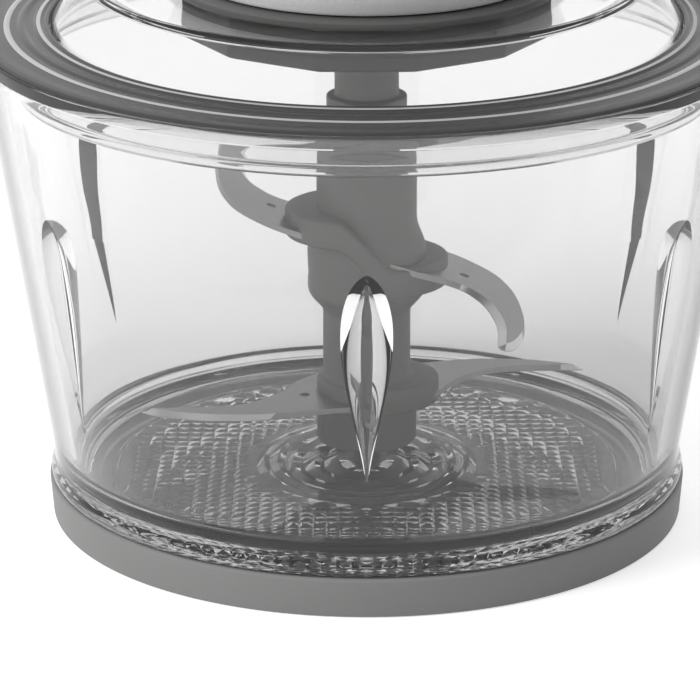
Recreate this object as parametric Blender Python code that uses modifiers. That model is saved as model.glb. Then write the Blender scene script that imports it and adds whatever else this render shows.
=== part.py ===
# Food chopper: glass bowl, two-level blades, clear lid and electric drive head.
# Metres, +Z up, origin at the middle of the underside. The front of the object faces -Y.

import math

import bmesh
import bpy
import numpy as np
from mathutils import Matrix

mm = 0.001
gap = 0.3 * mm                     # clearance between pieces that touch

# Bowl and base dish
ring_radius = 82.6 * mm
ring_wall = 3.6 * mm
ring_height = 10.5 * mm
ring_chamfer = 1.0 * mm
foot_drop = 1.2 * mm               # the rubber feet stand this far below the ring
foot_radius = 5.5 * mm
foot_inset = 2.0 * mm
foot_count = 4
foot_start = -31.0                 # degrees from the front
glass_underside = 4.5 * mm
floor_thickness = 9.0 * mm
bead_inset = 0.4 * mm              # the glass bead stays this far inside the ring's face
bead_height = 3.2 * mm
waist_inset = 1.5 * mm
waist_height = 16.5 * mm
rim_radius = 99.0 * mm
rim_height = 128.4 * mm
rim_chamfer = 1.2 * mm
glass_wall = 5.0 * mm
floor_fillet = 9.0 * mm
boss_radius = 27.0 * mm
boss_flat = 0.52                   # share of the boss's radius that is flat on top
boss_rise = 3.4 * mm
rib_count = 6
rib_inset = 2.1 * mm               # the ribs start where the wall is this far inside the waist
rib_rise = 0.6                     # depth of a rib as a share of the wall's lean past that line
rib_top = 92.0 * mm
rib_bottom = 32.0 * mm
rib_width = 12.6 * mm
rib_root = 1.2 * mm                # how far a rib's back lies in the wall
rib_wall_share = 0.6

# Pin and blade assembly
pin_radius = 3.5 * mm
pin_seat = 2.5 * mm
pin_length = 45.0 * mm
bush_wall = 2.2 * mm
bush_headroom = 1.5 * mm
hub_clearance = 1.7 * mm           # between the boss of the bowl and the hub
hub_radius = 12.9 * mm
hub_wall = 1.6 * mm
hub_edge = 0.6 * mm
hub_wide_radius = 15.2 * mm
hub_narrow_radius = 11.3 * mm
hub_wide_drop = 12.6 * mm          # from the upper blade down to the end of the wide part
hub_taper = 4.4 * mm
hub_cone = 6.0 * mm
hub_top = 95.0 * mm
collar_radius = 10.3 * mm
collar_height = 15.5 * mm
collar_depth = 6.0 * mm
stem_radius = 8.2 * mm
stem_edge = 0.5 * mm
stem_drop = 1.6 * mm
blade_thickness = 1.4 * mm
upper_blade_height = 71.6 * mm
upper_blade_slope = -0.311
upper_blade_reach = 63.0 * mm      # from the axis to the tips
upper_wing_radius = 21.0 * mm
upper_wing_depth = 17.0 * mm
upper_wing_thickness = 7.5 * mm
lower_blade_height = 31.7 * mm
lower_blade_reach = 61.4 * mm
lower_wing_radius = 18.7 * mm
lower_wing_depth = 14.6 * mm
lower_wing_thickness = 6.8 * mm
lower_wing_rise = 0.9 * mm
lower_wing_left = 0.66             # share of the lower wing's length that its left side keeps
lower_wing_collar = 4.8 * mm
lower_wing_taper = 1.2 * mm
blade_eye_radius = 8.0 * mm        # hole in the middle of a blade, round the hub's core
blade_hole_radius = 1.3 * mm
wing_core_inset = 2.5 * mm
wing_ramp = 0.36                   # half length of the upper wing's ramp as a share of its radius
wing_steps = 36

# Lid
lid_rise = 12.6 * mm               # from the bowl's rim to the top of the lid's plate
lid_plate_thickness = 2.4 * mm
lid_wall = 2.2 * mm
lid_rim_rise = 2.5 * mm
lid_knee_rise = 2.6 * mm
lid_shoulder = 9.4 * mm            # from the seal's inner edge in to the lid's rim
lid_inner_radius = 30.0 * mm
seal_overhang = 1.0 * mm
seal_lap = 8.6 * mm                # how far the seal reaches in over the lid
seal_thickness = 2.4 * mm
seal_drop = 0.9 * mm
seal_ridge = 0.7 * mm
seal_edge = 1.0 * mm
seal_crown = 0.7 * mm
seal_skirt_gap = 1.0 * mm
skirt_clearance = 5.0 * mm         # between the glass and the lid's skirt
skirt_depth = 11.8 * mm
skirt_edge = 1.0 * mm
skirt_chamfer = 0.6 * mm

# Gearbox
gear_module = 1.0 * mm
sun_teeth = 12
planet_teeth = 18
planet_count = 3
gear_width = 7.0 * mm
ring_gear_rim = 6.0 * mm
planet_pin_radius = 2.2 * mm
planet_pin_land = 2.6 * mm
planet_pin_sink = 0.6 * mm
carrier_thickness = 3.0 * mm
carrier_neck_radius = 6.0 * mm
output_flats = 8.0 * mm            # hexagon that drives the blade stem
output_reach = 14.0 * mm
socket_spare = 1.0 * mm
gear_plate_thickness = 2.6 * mm
gear_cover_thickness = 3.0 * mm
gear_cover_clearance = 1.8 * mm
screw_radius = 1.7 * mm
screw_head = 2.0 * mm
screw_land = 6.0 * mm              # from the ring gear out to the case screws
plate_land = 7.0 * mm              # from the case screws out to the wall of the gear bay
case_screw_count = 3

# Drive head
head_sides = 12
head_wall = 2.6 * mm
head_corner = 1.0 * mm
head_boss_depth = 12.2 * mm        # how far the boss hangs below the lid's plate
head_well_depth = 6.3 * mm
head_ledge = 4.0 * mm
head_slot_rise = 6.0 * mm
head_slot_length = 4.4 * mm
head_slot_shift = 0.66             # share of a face's half width, away from the front or back
head_slot_depth = 3.0 * mm
head_slot_height = 1.4 * mm
stem_clearance = 1.2 * mm
flange_overhang = 2.8 * mm
flange_thickness = 2.0 * mm
sleeve_inset = 2.2 * mm            # the sleeve's foot against the corners of the boss
sleeve_swell = 6.0 * mm
sleeve_flare = 16.0 * mm
sleeve_wall = 2.2 * mm
sleeve_over_board = 0.8 * mm
cap_height = 34.0 * mm
cap_shoulder = 6.0 * mm
cap_slope = 14.0 * mm
shelf_thickness = 2.0 * mm
shelf_headroom = 3.4 * mm
button_radius = 21.0 * mm
button_rise = 8.0 * mm
button_travel = 4.0 * mm
button_wall = 2.2 * mm
button_roof = 3.0 * mm
button_stem_radius = 3.2 * mm
button_stem_play = 1.4 * mm
button_lap = 2.0 * mm
spring_wire = 0.7 * mm
spring_radius = 8.0 * mm
spring_turns = 4
spring_steps = 8
gland_radius = 6.5 * mm
gland_neck = 1.5 * mm
gland_bore = 3.3 * mm
gland_length = 14.0 * mm
gland_flange = 3.0 * mm
gland_inside = 6.0 * mm
gland_height = 12.0 * mm
gland_taper = 2.5 * mm

# Motor
shaft_radius = 3.0 * mm
shaft_end = 0.8 * mm
bearing_radius = 8.0 * mm
bearing_width = 5.0 * mm
bearing_seat_wall = 1.8 * mm
seat_play = 0.1 * mm
fan_hub_radius = 7.0 * mm
fan_height = 5.0 * mm
fan_disc = 1.6 * mm
fan_rise = 4.0 * mm
fan_clearance = 5.8 * mm           # from the motor's screws in to the fan
fan_vanes = 9
vane_thickness = 1.4 * mm
stator_radius = 33.0 * mm
stator_length = 36.0 * mm
stator_lift = 16.4 * mm            # from the gear cover to the iron
stator_bore = 17.4 * mm
stator_yoke = 6.5 * mm
pole_neck = 8.0 * mm
pole_tip_depth = 2.6 * mm
coil_thickness = 3.4 * mm
air_gap = 0.8 * mm
armature_slots = 12
slot_mouth = 1.0 * mm
slot_half_width = 2.0 * mm
slot_depth = 6.0 * mm
slot_lip = 1.2 * mm
slot_shoulder = 1.8 * mm
winding_rise = 6.0 * mm
winding_inset = 2.2 * mm
winding_core = 1.6 * mm
winding_play = 0.4 * mm
commutator_radius = 9.5 * mm
commutator_length = 9.0 * mm
commutator_headroom = 2.0 * mm
brush_width = 5.0 * mm
brush_reach = 15.0 * mm
brush_stand = 3.0 * mm
brush_wall = 1.2 * mm
motor_screw_count = 4
motor_screw_inset = 3.2 * mm
post_wall = 2.0 * mm
leg_wall = 1.5 * mm
bracket_thickness = 3.0 * mm
board_rise = 4.0 * mm
board_thickness = 1.6 * mm
board_inset = 6.0 * mm
board_post_radius = 2.4 * mm
switch_length = 20.0 * mm
switch_width = 8.0 * mm
switch_height = 7.0 * mm
overlap = 1.0 * mm                 # how far cutters and joined forms run past each other
tiny = 1e-6

# Radii that follow from the sizes above
waist_radius = ring_radius - waist_inset
rib_inner_radius = waist_radius - rib_inset
skirt_radius = rim_radius - glass_wall - skirt_clearance
seal_outer_radius = rim_radius + seal_overhang
seal_inner_radius = skirt_radius - seal_lap
lid_rim_radius = seal_inner_radius - lid_shoulder
glass_slope = (rim_radius - waist_radius) / (rim_height - waist_height)
hub_neck_radius = hub_radius - hub_wall
ring_teeth = sun_teeth + 2 * planet_teeth
sun_axis_distance = gear_module * (sun_teeth + planet_teeth) / 2
ring_gear_radius = gear_module * ring_teeth / 2 + ring_gear_rim
screw_circle = ring_gear_radius + screw_land
bay_radius = screw_circle + plate_land
head_boss_radius = (bay_radius + head_wall + head_corner) / math.cos(math.pi / head_sides)
flange_radius = head_boss_radius + flange_overhang
sleeve_bottom_radius = head_boss_radius - sleeve_inset
sleeve_radius = sleeve_bottom_radius + sleeve_swell
cap_top_radius = sleeve_radius - cap_slope
gear_cover_radius = sleeve_bottom_radius - sleeve_wall - gear_cover_clearance
motor_screw_circle = stator_radius - motor_screw_inset
fan_radius = motor_screw_circle - fan_clearance
armature_radius = stator_bore - air_gap

# Levels that follow from the sizes above
floor_top = glass_underside + floor_thickness
pin_bottom = glass_underside + pin_seat
pin_top = pin_bottom + pin_length
bush_top = pin_top + bush_headroom
hub_bottom = floor_top + boss_rise + hub_clearance
collar_top = hub_top + collar_height
skirt_bottom = rim_height - skirt_depth
lid_knee = rim_height + lid_knee_rise
lid_plate_top = rim_height + lid_rise
lid_plate_bottom = lid_plate_top - lid_plate_thickness
head_boss_bottom = lid_plate_top - head_boss_depth
head_floor = head_boss_bottom + head_wall
gear_ledge = head_floor + head_well_depth
flange_bottom = lid_plate_top + gap
flange_top = flange_bottom + flange_thickness
sleeve_bottom = flange_top + gap
gear_plate_bottom = gear_ledge + gap
gear_plate_top = gear_plate_bottom + gear_plate_thickness
carrier_bottom = gear_plate_top + gap
carrier_top = carrier_bottom + carrier_thickness
gear_bottom = carrier_top + gap
gear_top = gear_bottom + gear_width
gear_cover_bottom = gear_top + gap
gear_cover_top = gear_cover_bottom + gear_cover_thickness
fan_bottom = gear_cover_top + fan_rise
stator_bottom = gear_cover_top + stator_lift
stator_top = stator_bottom + stator_length
stator_middle = (stator_bottom + stator_top) / 2
commutator_bottom = stator_top + winding_rise + gap
commutator_top = commutator_bottom + commutator_length
bracket_bottom = commutator_top + commutator_headroom
bracket_top = bracket_bottom + bracket_thickness
board_bottom = bracket_top + board_rise
board_top = board_bottom + board_thickness
switch_top = board_top + gap + switch_height
sleeve_top = board_bottom + sleeve_over_board
cap_bottom = sleeve_top + gap
cap_top = cap_bottom + cap_height
shelf_top = switch_top + button_travel + shelf_headroom
stem_top = gear_ledge - stem_drop

for old in list(bpy.data.objects):
    bpy.data.objects.remove(old, do_unlink=True)

parts = bpy.data.collections.new("food_chopper")
cutters = bpy.data.collections.new("cutters")
bpy.context.scene.collection.children.link(parts)
bpy.context.scene.collection.children.link(cutters)

finishes = {}


def finish(name, colour, roughness, metallic=0.0, transmission=0.0):
    """A Principled material, made once."""
    made = bpy.data.materials.new(name)
    made.use_nodes = True
    shader = made.node_tree.nodes["Principled BSDF"]
    shader.inputs["Base Color"].default_value = (*colour, 1.0)
    shader.inputs["Roughness"].default_value = roughness
    shader.inputs["Metallic"].default_value = metallic
    shader.inputs["Transmission Weight"].default_value = transmission
    made.diffuse_color = (*colour, 1.0)
    finishes[name] = made


finish("ring_grey", (0.20, 0.20, 0.20), 0.45)
finish("foot_rubber", (0.05, 0.05, 0.05), 0.7)
finish("bowl_glass", (0.95, 0.96, 0.96), 0.02, transmission=1.0)
finish("lid_clear", (0.94, 0.94, 0.94), 0.05, transmission=1.0)
finish("seal_silicone", (0.12, 0.12, 0.12), 0.4)
finish("blade_steel", (0.45, 0.45, 0.45), 0.3, 1.0)
finish("pin_steel", (0.6, 0.6, 0.6), 0.25, 1.0)
finish("hub_plastic", (0.21, 0.21, 0.21), 0.5)
finish("head_dark", (0.10, 0.10, 0.10), 0.4)
finish("head_light", (0.80, 0.80, 0.80), 0.25)
finish("button_plastic", (0.12, 0.12, 0.12), 0.35)
finish("gear_nylon", (0.75, 0.73, 0.66), 0.5)
finish("iron", (0.30, 0.30, 0.31), 0.45, 1.0)
finish("copper", (0.72, 0.40, 0.22), 0.35, 1.0)
finish("brass", (0.76, 0.62, 0.32), 0.3, 1.0)
finish("carbon", (0.05, 0.05, 0.05), 0.6)
finish("motor_plastic", (0.16, 0.16, 0.17), 0.5)
finish("board_green", (0.05, 0.20, 0.09), 0.5)
finish("switch_plastic", (0.03, 0.03, 0.03), 0.45)


def keep(made, name, finish_name=None):
    """Name an object and put it in the parts, or among the cutters when it has no finish."""
    made.name = name
    made.data.name = name
    if finish_name is None:
        cutters.objects.link(made)
        made.hide_render = True
        made.display_type = "WIRE"
    else:
        parts.objects.link(made)
        made.data.materials.append(finishes[finish_name])
    return made


def smooth(made, angle=40.0):
    """Smooth shading with the sharp edges kept."""
    made.data.shade_smooth()
    made.data.set_sharp_from_angle(angle=math.radians(angle))


def turned(name, profile, finish_name=None, steps=48):
    """A solid of revolution: the profile runs out along the top, down the outer side and back in."""
    mesh = bpy.data.meshes.new(name)
    points = [(radius, 0.0, height) for radius, height in profile]
    on_axis = abs(profile[0][0]) < 1e-9 and abs(profile[-1][0]) < 1e-9
    edges = [(i, i + 1) for i in range(len(points) - 1)]
    if not on_axis:
        edges.append((len(points) - 1, 0))
    mesh.from_pydata(points, edges, [])
    made = bpy.data.objects.new(name, mesh)
    keep(made, name, finish_name)
    screw = made.modifiers.new("turn", "SCREW")
    screw.axis = "Z"
    screw.angle = math.tau
    screw.steps = steps
    screw.render_steps = steps
    screw.use_merge_vertices = True
    screw.merge_threshold = 1e-5
    screw.use_smooth_shade = True
    return made


def tube(name, outer, inner, bottom, top, finish_name=None, steps=32):
    """A plain ring of rectangular section."""
    profile = [(inner, top), (outer, top), (outer, bottom), (inner, bottom)]
    return turned(name, profile, finish_name, steps)


def rod(name, radius, bottom, top, finish_name=None, at=(0.0, 0.0), steps=24):
    """An upright cylinder whose origin lies on its own axis."""
    mesh = bpy.data.meshes.new(name)
    shape = bmesh.new()
    middle = Matrix.Translation((0.0, 0.0, (bottom + top) / 2))
    bmesh.ops.create_cone(shape, cap_ends=True, segments=steps, radius1=radius, radius2=radius,
                          depth=top - bottom, matrix=middle)
    shape.to_mesh(mesh)
    shape.free()
    made = bpy.data.objects.new(name, mesh)
    made.location = (at[0], at[1], 0.0)
    keep(made, name, finish_name)
    smooth(made)
    return made


def block(name, size, centre, finish_name=None, turn=0.0):
    """A box given by its size and centre, turned about Z by an angle in radians."""
    mesh = bpy.data.meshes.new(name)
    shape = bmesh.new()
    bmesh.ops.create_cube(shape, size=1.0, matrix=Matrix.Diagonal((*size, 1.0)))
    bmesh.ops.transform(shape, matrix=Matrix.Translation(centre), verts=shape.verts)
    bmesh.ops.transform(shape, matrix=Matrix.Rotation(turn, 4, "Z"), verts=shape.verts)
    shape.to_mesh(mesh)
    shape.free()
    return keep(bpy.data.objects.new(name, mesh), name, finish_name)


def plate(name, outlines, bottom, top, finish_name=None):
    """A flat piece from closed outlines, the first outside and the others holes."""
    curve = bpy.data.curves.new(name, "CURVE")
    curve.dimensions = "2D"
    curve.fill_mode = "BOTH"
    curve.extrude = (top - bottom) / 2
    for outline in outlines:
        spline = curve.splines.new("POLY")
        spline.points.add(len(outline) - 1)
        for point, (x, y) in zip(spline.points, outline):
            point.co = (x, y, 0.0, 1.0)
        spline.use_cyclic_u = True
    drawn = bpy.data.objects.new(name + "_outline", curve)
    bpy.context.scene.collection.objects.link(drawn)
    bpy.context.view_layer.update()
    seen = drawn.evaluated_get(bpy.context.evaluated_depsgraph_get())
    mesh = bpy.data.meshes.new_from_object(seen)
    bpy.data.objects.remove(drawn, do_unlink=True)
    shape = bmesh.new()
    shape.from_mesh(mesh)
    bmesh.ops.remove_doubles(shape, verts=shape.verts, dist=tiny)
    bmesh.ops.translate(shape, verts=shape.verts, vec=(0.0, 0.0, (bottom + top) / 2))
    bmesh.ops.recalc_face_normals(shape, faces=shape.faces)
    shape.to_mesh(mesh)
    shape.free()
    mesh.materials.clear()
    return keep(bpy.data.objects.new(name, mesh), name, finish_name)


def circle(radius, count, centre=(0.0, 0.0), start=0.0):
    """Points round a circle."""
    turns = [start + math.tau * i / count for i in range(count)]
    return [(centre[0] + radius * math.cos(t), centre[1] + radius * math.sin(t)) for t in turns]


def combine(made, other, operation="DIFFERENCE"):
    """Cut or join with another object, which stays as a live Boolean."""
    boolean = made.modifiers.new(other.name, "BOOLEAN")
    boolean.operation = operation
    boolean.solver = "EXACT"
    boolean.object = other
    return made


def loft(name, rings, finish_name=None):
    """Closed skin over rings of equal point counts, with flat ends."""
    count = len(rings[0])
    points = [point for ring in rings for point in ring]
    faces = [list(range(count))[::-1]]
    for level in range(len(rings) - 1):
        for i in range(count):
            j = (i + 1) % count
            low = level * count
            high = low + count
            faces.append([low + i, low + j, high + j, high + i])
    faces.append([(len(rings) - 1) * count + i for i in range(count)])
    mesh = bpy.data.meshes.new(name)
    mesh.from_pydata(points, [], faces)
    made = keep(bpy.data.objects.new(name, mesh), name, finish_name)
    smooth(made)
    return made


def from_front(degrees, radius):
    """Point at an angle counted from the front, positive to the right."""
    turn = math.radians(degrees)
    return radius * math.sin(turn), -radius * math.cos(turn)


# Bowl

def wall_outside(height):
    """Outer radius of the glass wall above the waist."""
    return waist_radius + glass_slope * (height - waist_height)


def make_base_dish():
    """Shallow dish under the glass, closed below, with the rubber feet under it."""
    inside = ring_radius - ring_wall
    corner = ring_radius - ring_chamfer
    shelf = glass_underside - gap
    profile = [(0.0, shelf), (inside, shelf), (inside, ring_height), (corner, ring_height),
               (ring_radius, ring_height - ring_chamfer), (corner, foot_drop), (0.0, foot_drop)]
    turned("base_dish", profile, "ring_grey", 40)
    for i in range(foot_count):
        x, y = from_front(foot_start + i * 360.0 / foot_count, ring_radius - foot_radius - foot_inset)
        rod(f"foot_pad_{i + 1}", foot_radius, 0.0, foot_drop - gap, "foot_rubber", (x, y), 16)


def make_rib(index):
    """Teardrop rib: widest near its round top, dying out in the tapering wall below."""
    rings = []
    nose = rib_width * 0.55
    levels = [0.0, 0.25, 0.5, 0.72, 0.86, 0.94, 0.985, 1.0]
    turn = math.tau * index / rib_count
    for share in levels:
        height = rib_bottom + (rib_top - rib_bottom) * share
        to_top = (rib_top - height) / (2.2 * nose)
        roundness = math.sqrt(max(0.0, 1.0 - max(0.0, 1.0 - to_top) ** 2)) if to_top < 1.0 else 1.0
        half = rib_width / 2 * (0.45 + 0.55 * min(1.0, share / 0.72)) * max(0.12, roundness)
        wall = wall_outside(height) - glass_wall * rib_wall_share
        surface = wall_outside(height) - glass_wall
        crest = surface - rib_rise * (surface - rib_inner_radius)
        reach = (wall - crest) * max(0.12, roundness)
        ring = []
        for i in range(12):
            around = math.tau * i / 12
            x = half * math.sin(around)
            y = -wall + reach * max(0.0, math.cos(around)) + rib_root * min(0.0, math.cos(around))
            ring.append((x * math.cos(turn) - y * math.sin(turn), x * math.sin(turn) + y * math.cos(turn),
                         height))
        rings.append(ring[::-1])
    return loft(f"rib_form_{index + 1}", rings)


def make_bowl():
    foot = ring_radius - ring_wall - gap
    bulge = ring_radius - bead_inset
    seat = ring_height + gap
    inner_rim = rim_radius - glass_wall
    inner_low = wall_outside(floor_top + floor_fillet) - glass_wall * 1.12
    profile = [(inner_rim, rim_height), (rim_radius - rim_chamfer, rim_height),
               (rim_radius, rim_height - rim_chamfer), (waist_radius, waist_height),
               (bulge, ring_height + bead_height), (bulge, seat), (foot, seat),
               (foot, glass_underside), (0.0, glass_underside)]
    boss = [(0.0, floor_top + boss_rise), (boss_radius * boss_flat, floor_top + boss_rise),
            (boss_radius, floor_top)]
    fillet = []
    for i in range(5):
        swing = math.pi / 2 * i / 4
        fillet.append((inner_low - floor_fillet * (1 - math.sin(swing)),
                       floor_top + floor_fillet * (1 - math.cos(swing))))
    turned("glass_bowl", boss + fillet + profile, "bowl_glass", 40)
    bowl = bpy.data.objects["glass_bowl"]
    for index in range(rib_count):
        combine(bowl, make_rib(index), "UNION")
    combine(bowl, rod("pin_hole", pin_radius + gap, pin_bottom - gap, hub_bottom + overlap))
    rod("pivot_pin", pin_radius, pin_bottom, pin_top, "pin_steel")


# Blades and hub

def smooth_outline(points, rounds=1):
    """Corner cutting: each round replaces a corner with two points on its sides."""
    line = np.array(points)
    for _ in range(rounds):
        ahead = np.roll(line, -1, axis=0)
        line = np.stack([0.78 * line + 0.22 * ahead, 0.22 * line + 0.78 * ahead], axis=1).reshape(-1, 2)
    return line


def grown(line, amount):
    """The outline moved outwards along its normals."""
    along = np.roll(line, -1, axis=0) - np.roll(line, 1, axis=0)
    normal = np.stack([along[:, 1], -along[:, 0]], axis=1)
    normal /= np.linalg.norm(normal, axis=1)[:, None]
    area = np.sum(line[:, 0] * np.roll(line[:, 1], -1) - np.roll(line[:, 0], -1) * line[:, 1])
    return line + normal * amount * (1.0 if area > 0 else -1.0)


def s_outline(arm, reach):
    """One arm's outline and the same arm turned by half a turn, as one closed line."""
    half = np.array(arm) * reach / 100.0
    return smooth_outline(np.concatenate([half, -half]))


# One arm of each blade, in hundredths of its reach, from the hub out to the tip and back.
upper_arm = [(15.9, -23.8), (39.7, -20.6), (50.2, -33.3), (55.0, -57.1), (53.0, -85.7), (61.4, -79.4),
             (66.8, -50.8), (64.0, -14.3), (56.0, 6.3), (39.7, 16.3), (22.2, 16.8)]
lower_arm = [(16.3, -21.2), (28.5, -9.8), (35.8, 5.7), (44.8, 17.1), (55.4, 23.8), (74.9, 25.7),
             (96.7, 25.4), (86.3, 32.2), (68.4, 37.5), (44.0, 37.1), (21.2, 29.3)]
# Places of the small holes in the arms, in the same hundredths.
upper_hole = (41.3, -8.3)
lower_hole = (26.1, 10.6)


def tilt_about_middle(made, height, slope):
    """Lay a flat piece on the plane whose height is height + slope * x."""
    made.data.transform(Matrix.Translation((0.0, 0.0, height)) @ Matrix.Rotation(-math.atan(slope), 4, "Y"))
    return made


def make_blade(name, arm, reach, height, slope, hole_at):
    """A sheet steel blade, with the wider slot that it leaves in the hub."""
    line = s_outline(arm, reach)
    half = blade_thickness / 2
    holes = [circle(blade_eye_radius, 24)]
    for side in (1, -1):
        holes.append(circle(blade_hole_radius, 10, [side * reach * share / 100.0 for share in hole_at]))
    made = plate(name, [line.tolist()] + holes, -half, half, "blade_steel")
    tilt_about_middle(made, height, slope)
    slot_outline = [grown(line, gap).tolist(), circle(blade_eye_radius - gap, 24)]
    slot = plate(name + "_slot", slot_outline, -half - gap, half + gap)
    tilt_about_middle(slot, height, slope)
    return slot


def make_wing(name, half_wide, half_deep, thickness, height, step_up, left_share=1.0):
    """Elliptic pad round a blade's root; step_up lifts its left side along a ramp in the middle."""
    core = hub_radius - wing_core_inset
    rings = []
    for wide, deep, level in ((half_wide, half_deep, -1), (half_wide, half_deep, 1), (core, core, 1),
                              (core, core, -1)):
        ring = []
        for i in range(wing_steps):
            around = math.tau * i / wing_steps
            x = wide * math.cos(around)
            if x < 0.0 and wide > core:
                x *= left_share
            share = max(-1.0, min(1.0, x / (half_wide * wing_ramp)))
            lift = -step_up * share * (1.5 - 0.5 * share * share)
            edge = 0.75 if level < 0 and wide > core else 1.0
            ring.append((x * (0.96 if level < 0 and wide > core else 1.0), deep * math.sin(around),
                         height + lift + level * edge * thickness / 2))
        rings.append(ring)
    mesh = bpy.data.meshes.new(name)
    points = [point for ring in rings for point in ring]
    faces = []
    for band in range(4):
        for i in range(wing_steps):
            j = (i + 1) % wing_steps
            low = band * wing_steps
            high = ((band + 1) % 4) * wing_steps
            faces.append([low + i, low + j, high + j, high + i])
    mesh.from_pydata(points, [], faces)
    shape = bmesh.new()
    shape.from_mesh(mesh)
    bmesh.ops.triangulate(shape, faces=shape.faces)
    bmesh.ops.recalc_face_normals(shape, faces=shape.faces)
    shape.to_mesh(mesh)
    shape.free()
    return keep(bpy.data.objects.new(name, mesh), name)


def make_hub():
    """Moulded hub on the pin; its wide part and its two wings hold the blades."""
    waist_low = lower_blade_height + lower_wing_collar
    wide_low = upper_blade_height - hub_wide_drop
    recess = hub_top - collar_depth
    bush_hole = pin_radius + gap + bush_wall + gap
    profile = [(0.0, recess), (hub_neck_radius, recess), (hub_neck_radius, hub_top),
               (hub_radius - hub_edge, hub_top), (hub_radius, hub_top - hub_edge),
               (hub_radius, upper_blade_height + hub_cone), (hub_wide_radius, upper_blade_height),
               (hub_wide_radius, wide_low), (hub_narrow_radius, wide_low - hub_taper),
               (hub_narrow_radius, waist_low), (hub_radius, waist_low - lower_wing_taper),
               (hub_radius, hub_bottom), (bush_hole, hub_bottom), (bush_hole, bush_top), (0.0, bush_top)]
    hub = turned("blade_hub", profile, "hub_plastic", 28)
    upper_wing = make_wing("upper_wing", upper_wing_radius, upper_wing_depth, upper_wing_thickness,
                           upper_blade_height, -upper_blade_slope * upper_wing_radius)
    lower_wing = make_wing("lower_wing", lower_wing_radius, lower_wing_depth, lower_wing_thickness,
                           lower_blade_height + lower_wing_rise, 0.0, lower_wing_left)
    combine(hub, upper_wing, "UNION")
    combine(hub, lower_wing, "UNION")
    combine(hub, make_blade("upper_blade", upper_arm, upper_blade_reach, upper_blade_height,
                            upper_blade_slope, upper_hole))
    combine(hub, make_blade("lower_blade", lower_arm, lower_blade_reach, lower_blade_height, 0.0,
                            lower_hole))
    tube("hub_bush", bush_hole - gap, pin_radius + gap, hub_bottom, bush_top - gap, "brass", 24)
    make_stem(recess)


def make_stem(recess):
    """Column with a collar; a hexagonal socket in its top takes the drive."""
    foot = recess + gap
    neck = hub_neck_radius - gap
    profile = [(0.0, stem_top), (stem_radius - stem_edge, stem_top), (stem_radius, stem_top - stem_edge),
               (stem_radius, collar_top), (collar_radius - stem_edge, collar_top),
               (collar_radius, collar_top - stem_edge), (collar_radius, hub_top + 2 * stem_edge),
               (neck, hub_top - stem_edge), (neck, foot), (0.0, foot)]
    stem = turned("blade_stem", profile, "hub_plastic", 32)
    corner = (output_flats / 2 + gap) / math.cos(math.pi / 6)
    depth = output_reach + socket_spare
    socket = plate("stem_socket", [circle(corner, 6)], stem_top - depth, stem_top + overlap)
    combine(stem, socket)


# Lid

def make_lid():
    """Clear lid: raised plate with a rim, a shoulder, and a skirt that hangs inside the bowl."""
    rim_top = lid_plate_top + lid_rim_rise
    outer = seal_inner_radius - gap
    rest = rim_height - gap
    shelf_low = rest - lid_wall
    rim_inside = lid_rim_radius - lid_wall
    skirt_inside = skirt_radius - lid_wall
    # Both sides of the sloping wall climb alike, so it is as thick as the rest.
    climb = (rim_top - lid_knee) / (outer - lid_rim_radius)
    slant = lid_wall * math.hypot(1.0, climb)
    inner_knee = lid_knee + lid_wall * climb - slant
    inner_rim = lid_rim_radius + (rim_top - lid_plate_bottom - slant) / climb
    profile = [(lid_inner_radius, lid_plate_top), (rim_inside, lid_plate_top), (rim_inside + gap, rim_top),
               (lid_rim_radius, rim_top), (outer, lid_knee), (outer, rest), (skirt_radius, rest),
               (skirt_radius, skirt_bottom + skirt_edge), (skirt_radius - skirt_chamfer, skirt_bottom),
               (skirt_inside, skirt_bottom), (skirt_inside, shelf_low), (outer - lid_wall, shelf_low),
               (outer - lid_wall, inner_knee), (inner_rim, lid_plate_bottom),
               (lid_inner_radius, lid_plate_bottom)]
    lid = turned("lid_cover", profile, "lid_clear", 40)
    corner = head_boss_radius + gap
    hole = plate("lid_hole", [circle(corner, head_sides, start=math.pi / head_sides)],
                 lid_plate_bottom - overlap, lid_plate_top + overlap)
    combine(lid, hole)
    make_seal(rest + gap)


def make_seal(low):
    """Silicone ring with raised lines on top; it lies on the lid's shoulder and the bowl's rim."""
    step = rim_height + gap
    inside = skirt_radius + seal_skirt_gap
    wide = seal_outer_radius - seal_inner_radius
    top = low + seal_thickness + seal_crown

    def on_top(share, down=0.0):
        return seal_inner_radius + wide * share, top - seal_drop * share - down

    profile = [on_top(0.0, gap), on_top(0.03), on_top(0.07, seal_ridge), on_top(0.17),
               on_top(0.21, seal_ridge), on_top(0.42, seal_ridge), on_top(0.47),
               on_top(0.52, seal_ridge), on_top(0.80, seal_ridge * 0.6), on_top(0.96, seal_ridge),
               on_top(1.0, seal_edge), (seal_outer_radius, step), (inside, step), (inside, low),
               (seal_inner_radius, low)]
    turned("lid_seal", profile, "seal_silicone", 40)


# Head shell

def case_screw_place(index):
    return from_front(60.0 + index * 360.0 / case_screw_count, screw_circle)


def motor_screw_place(index):
    return from_front(45.0 + index * 360.0 / motor_screw_count, motor_screw_circle)


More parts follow.
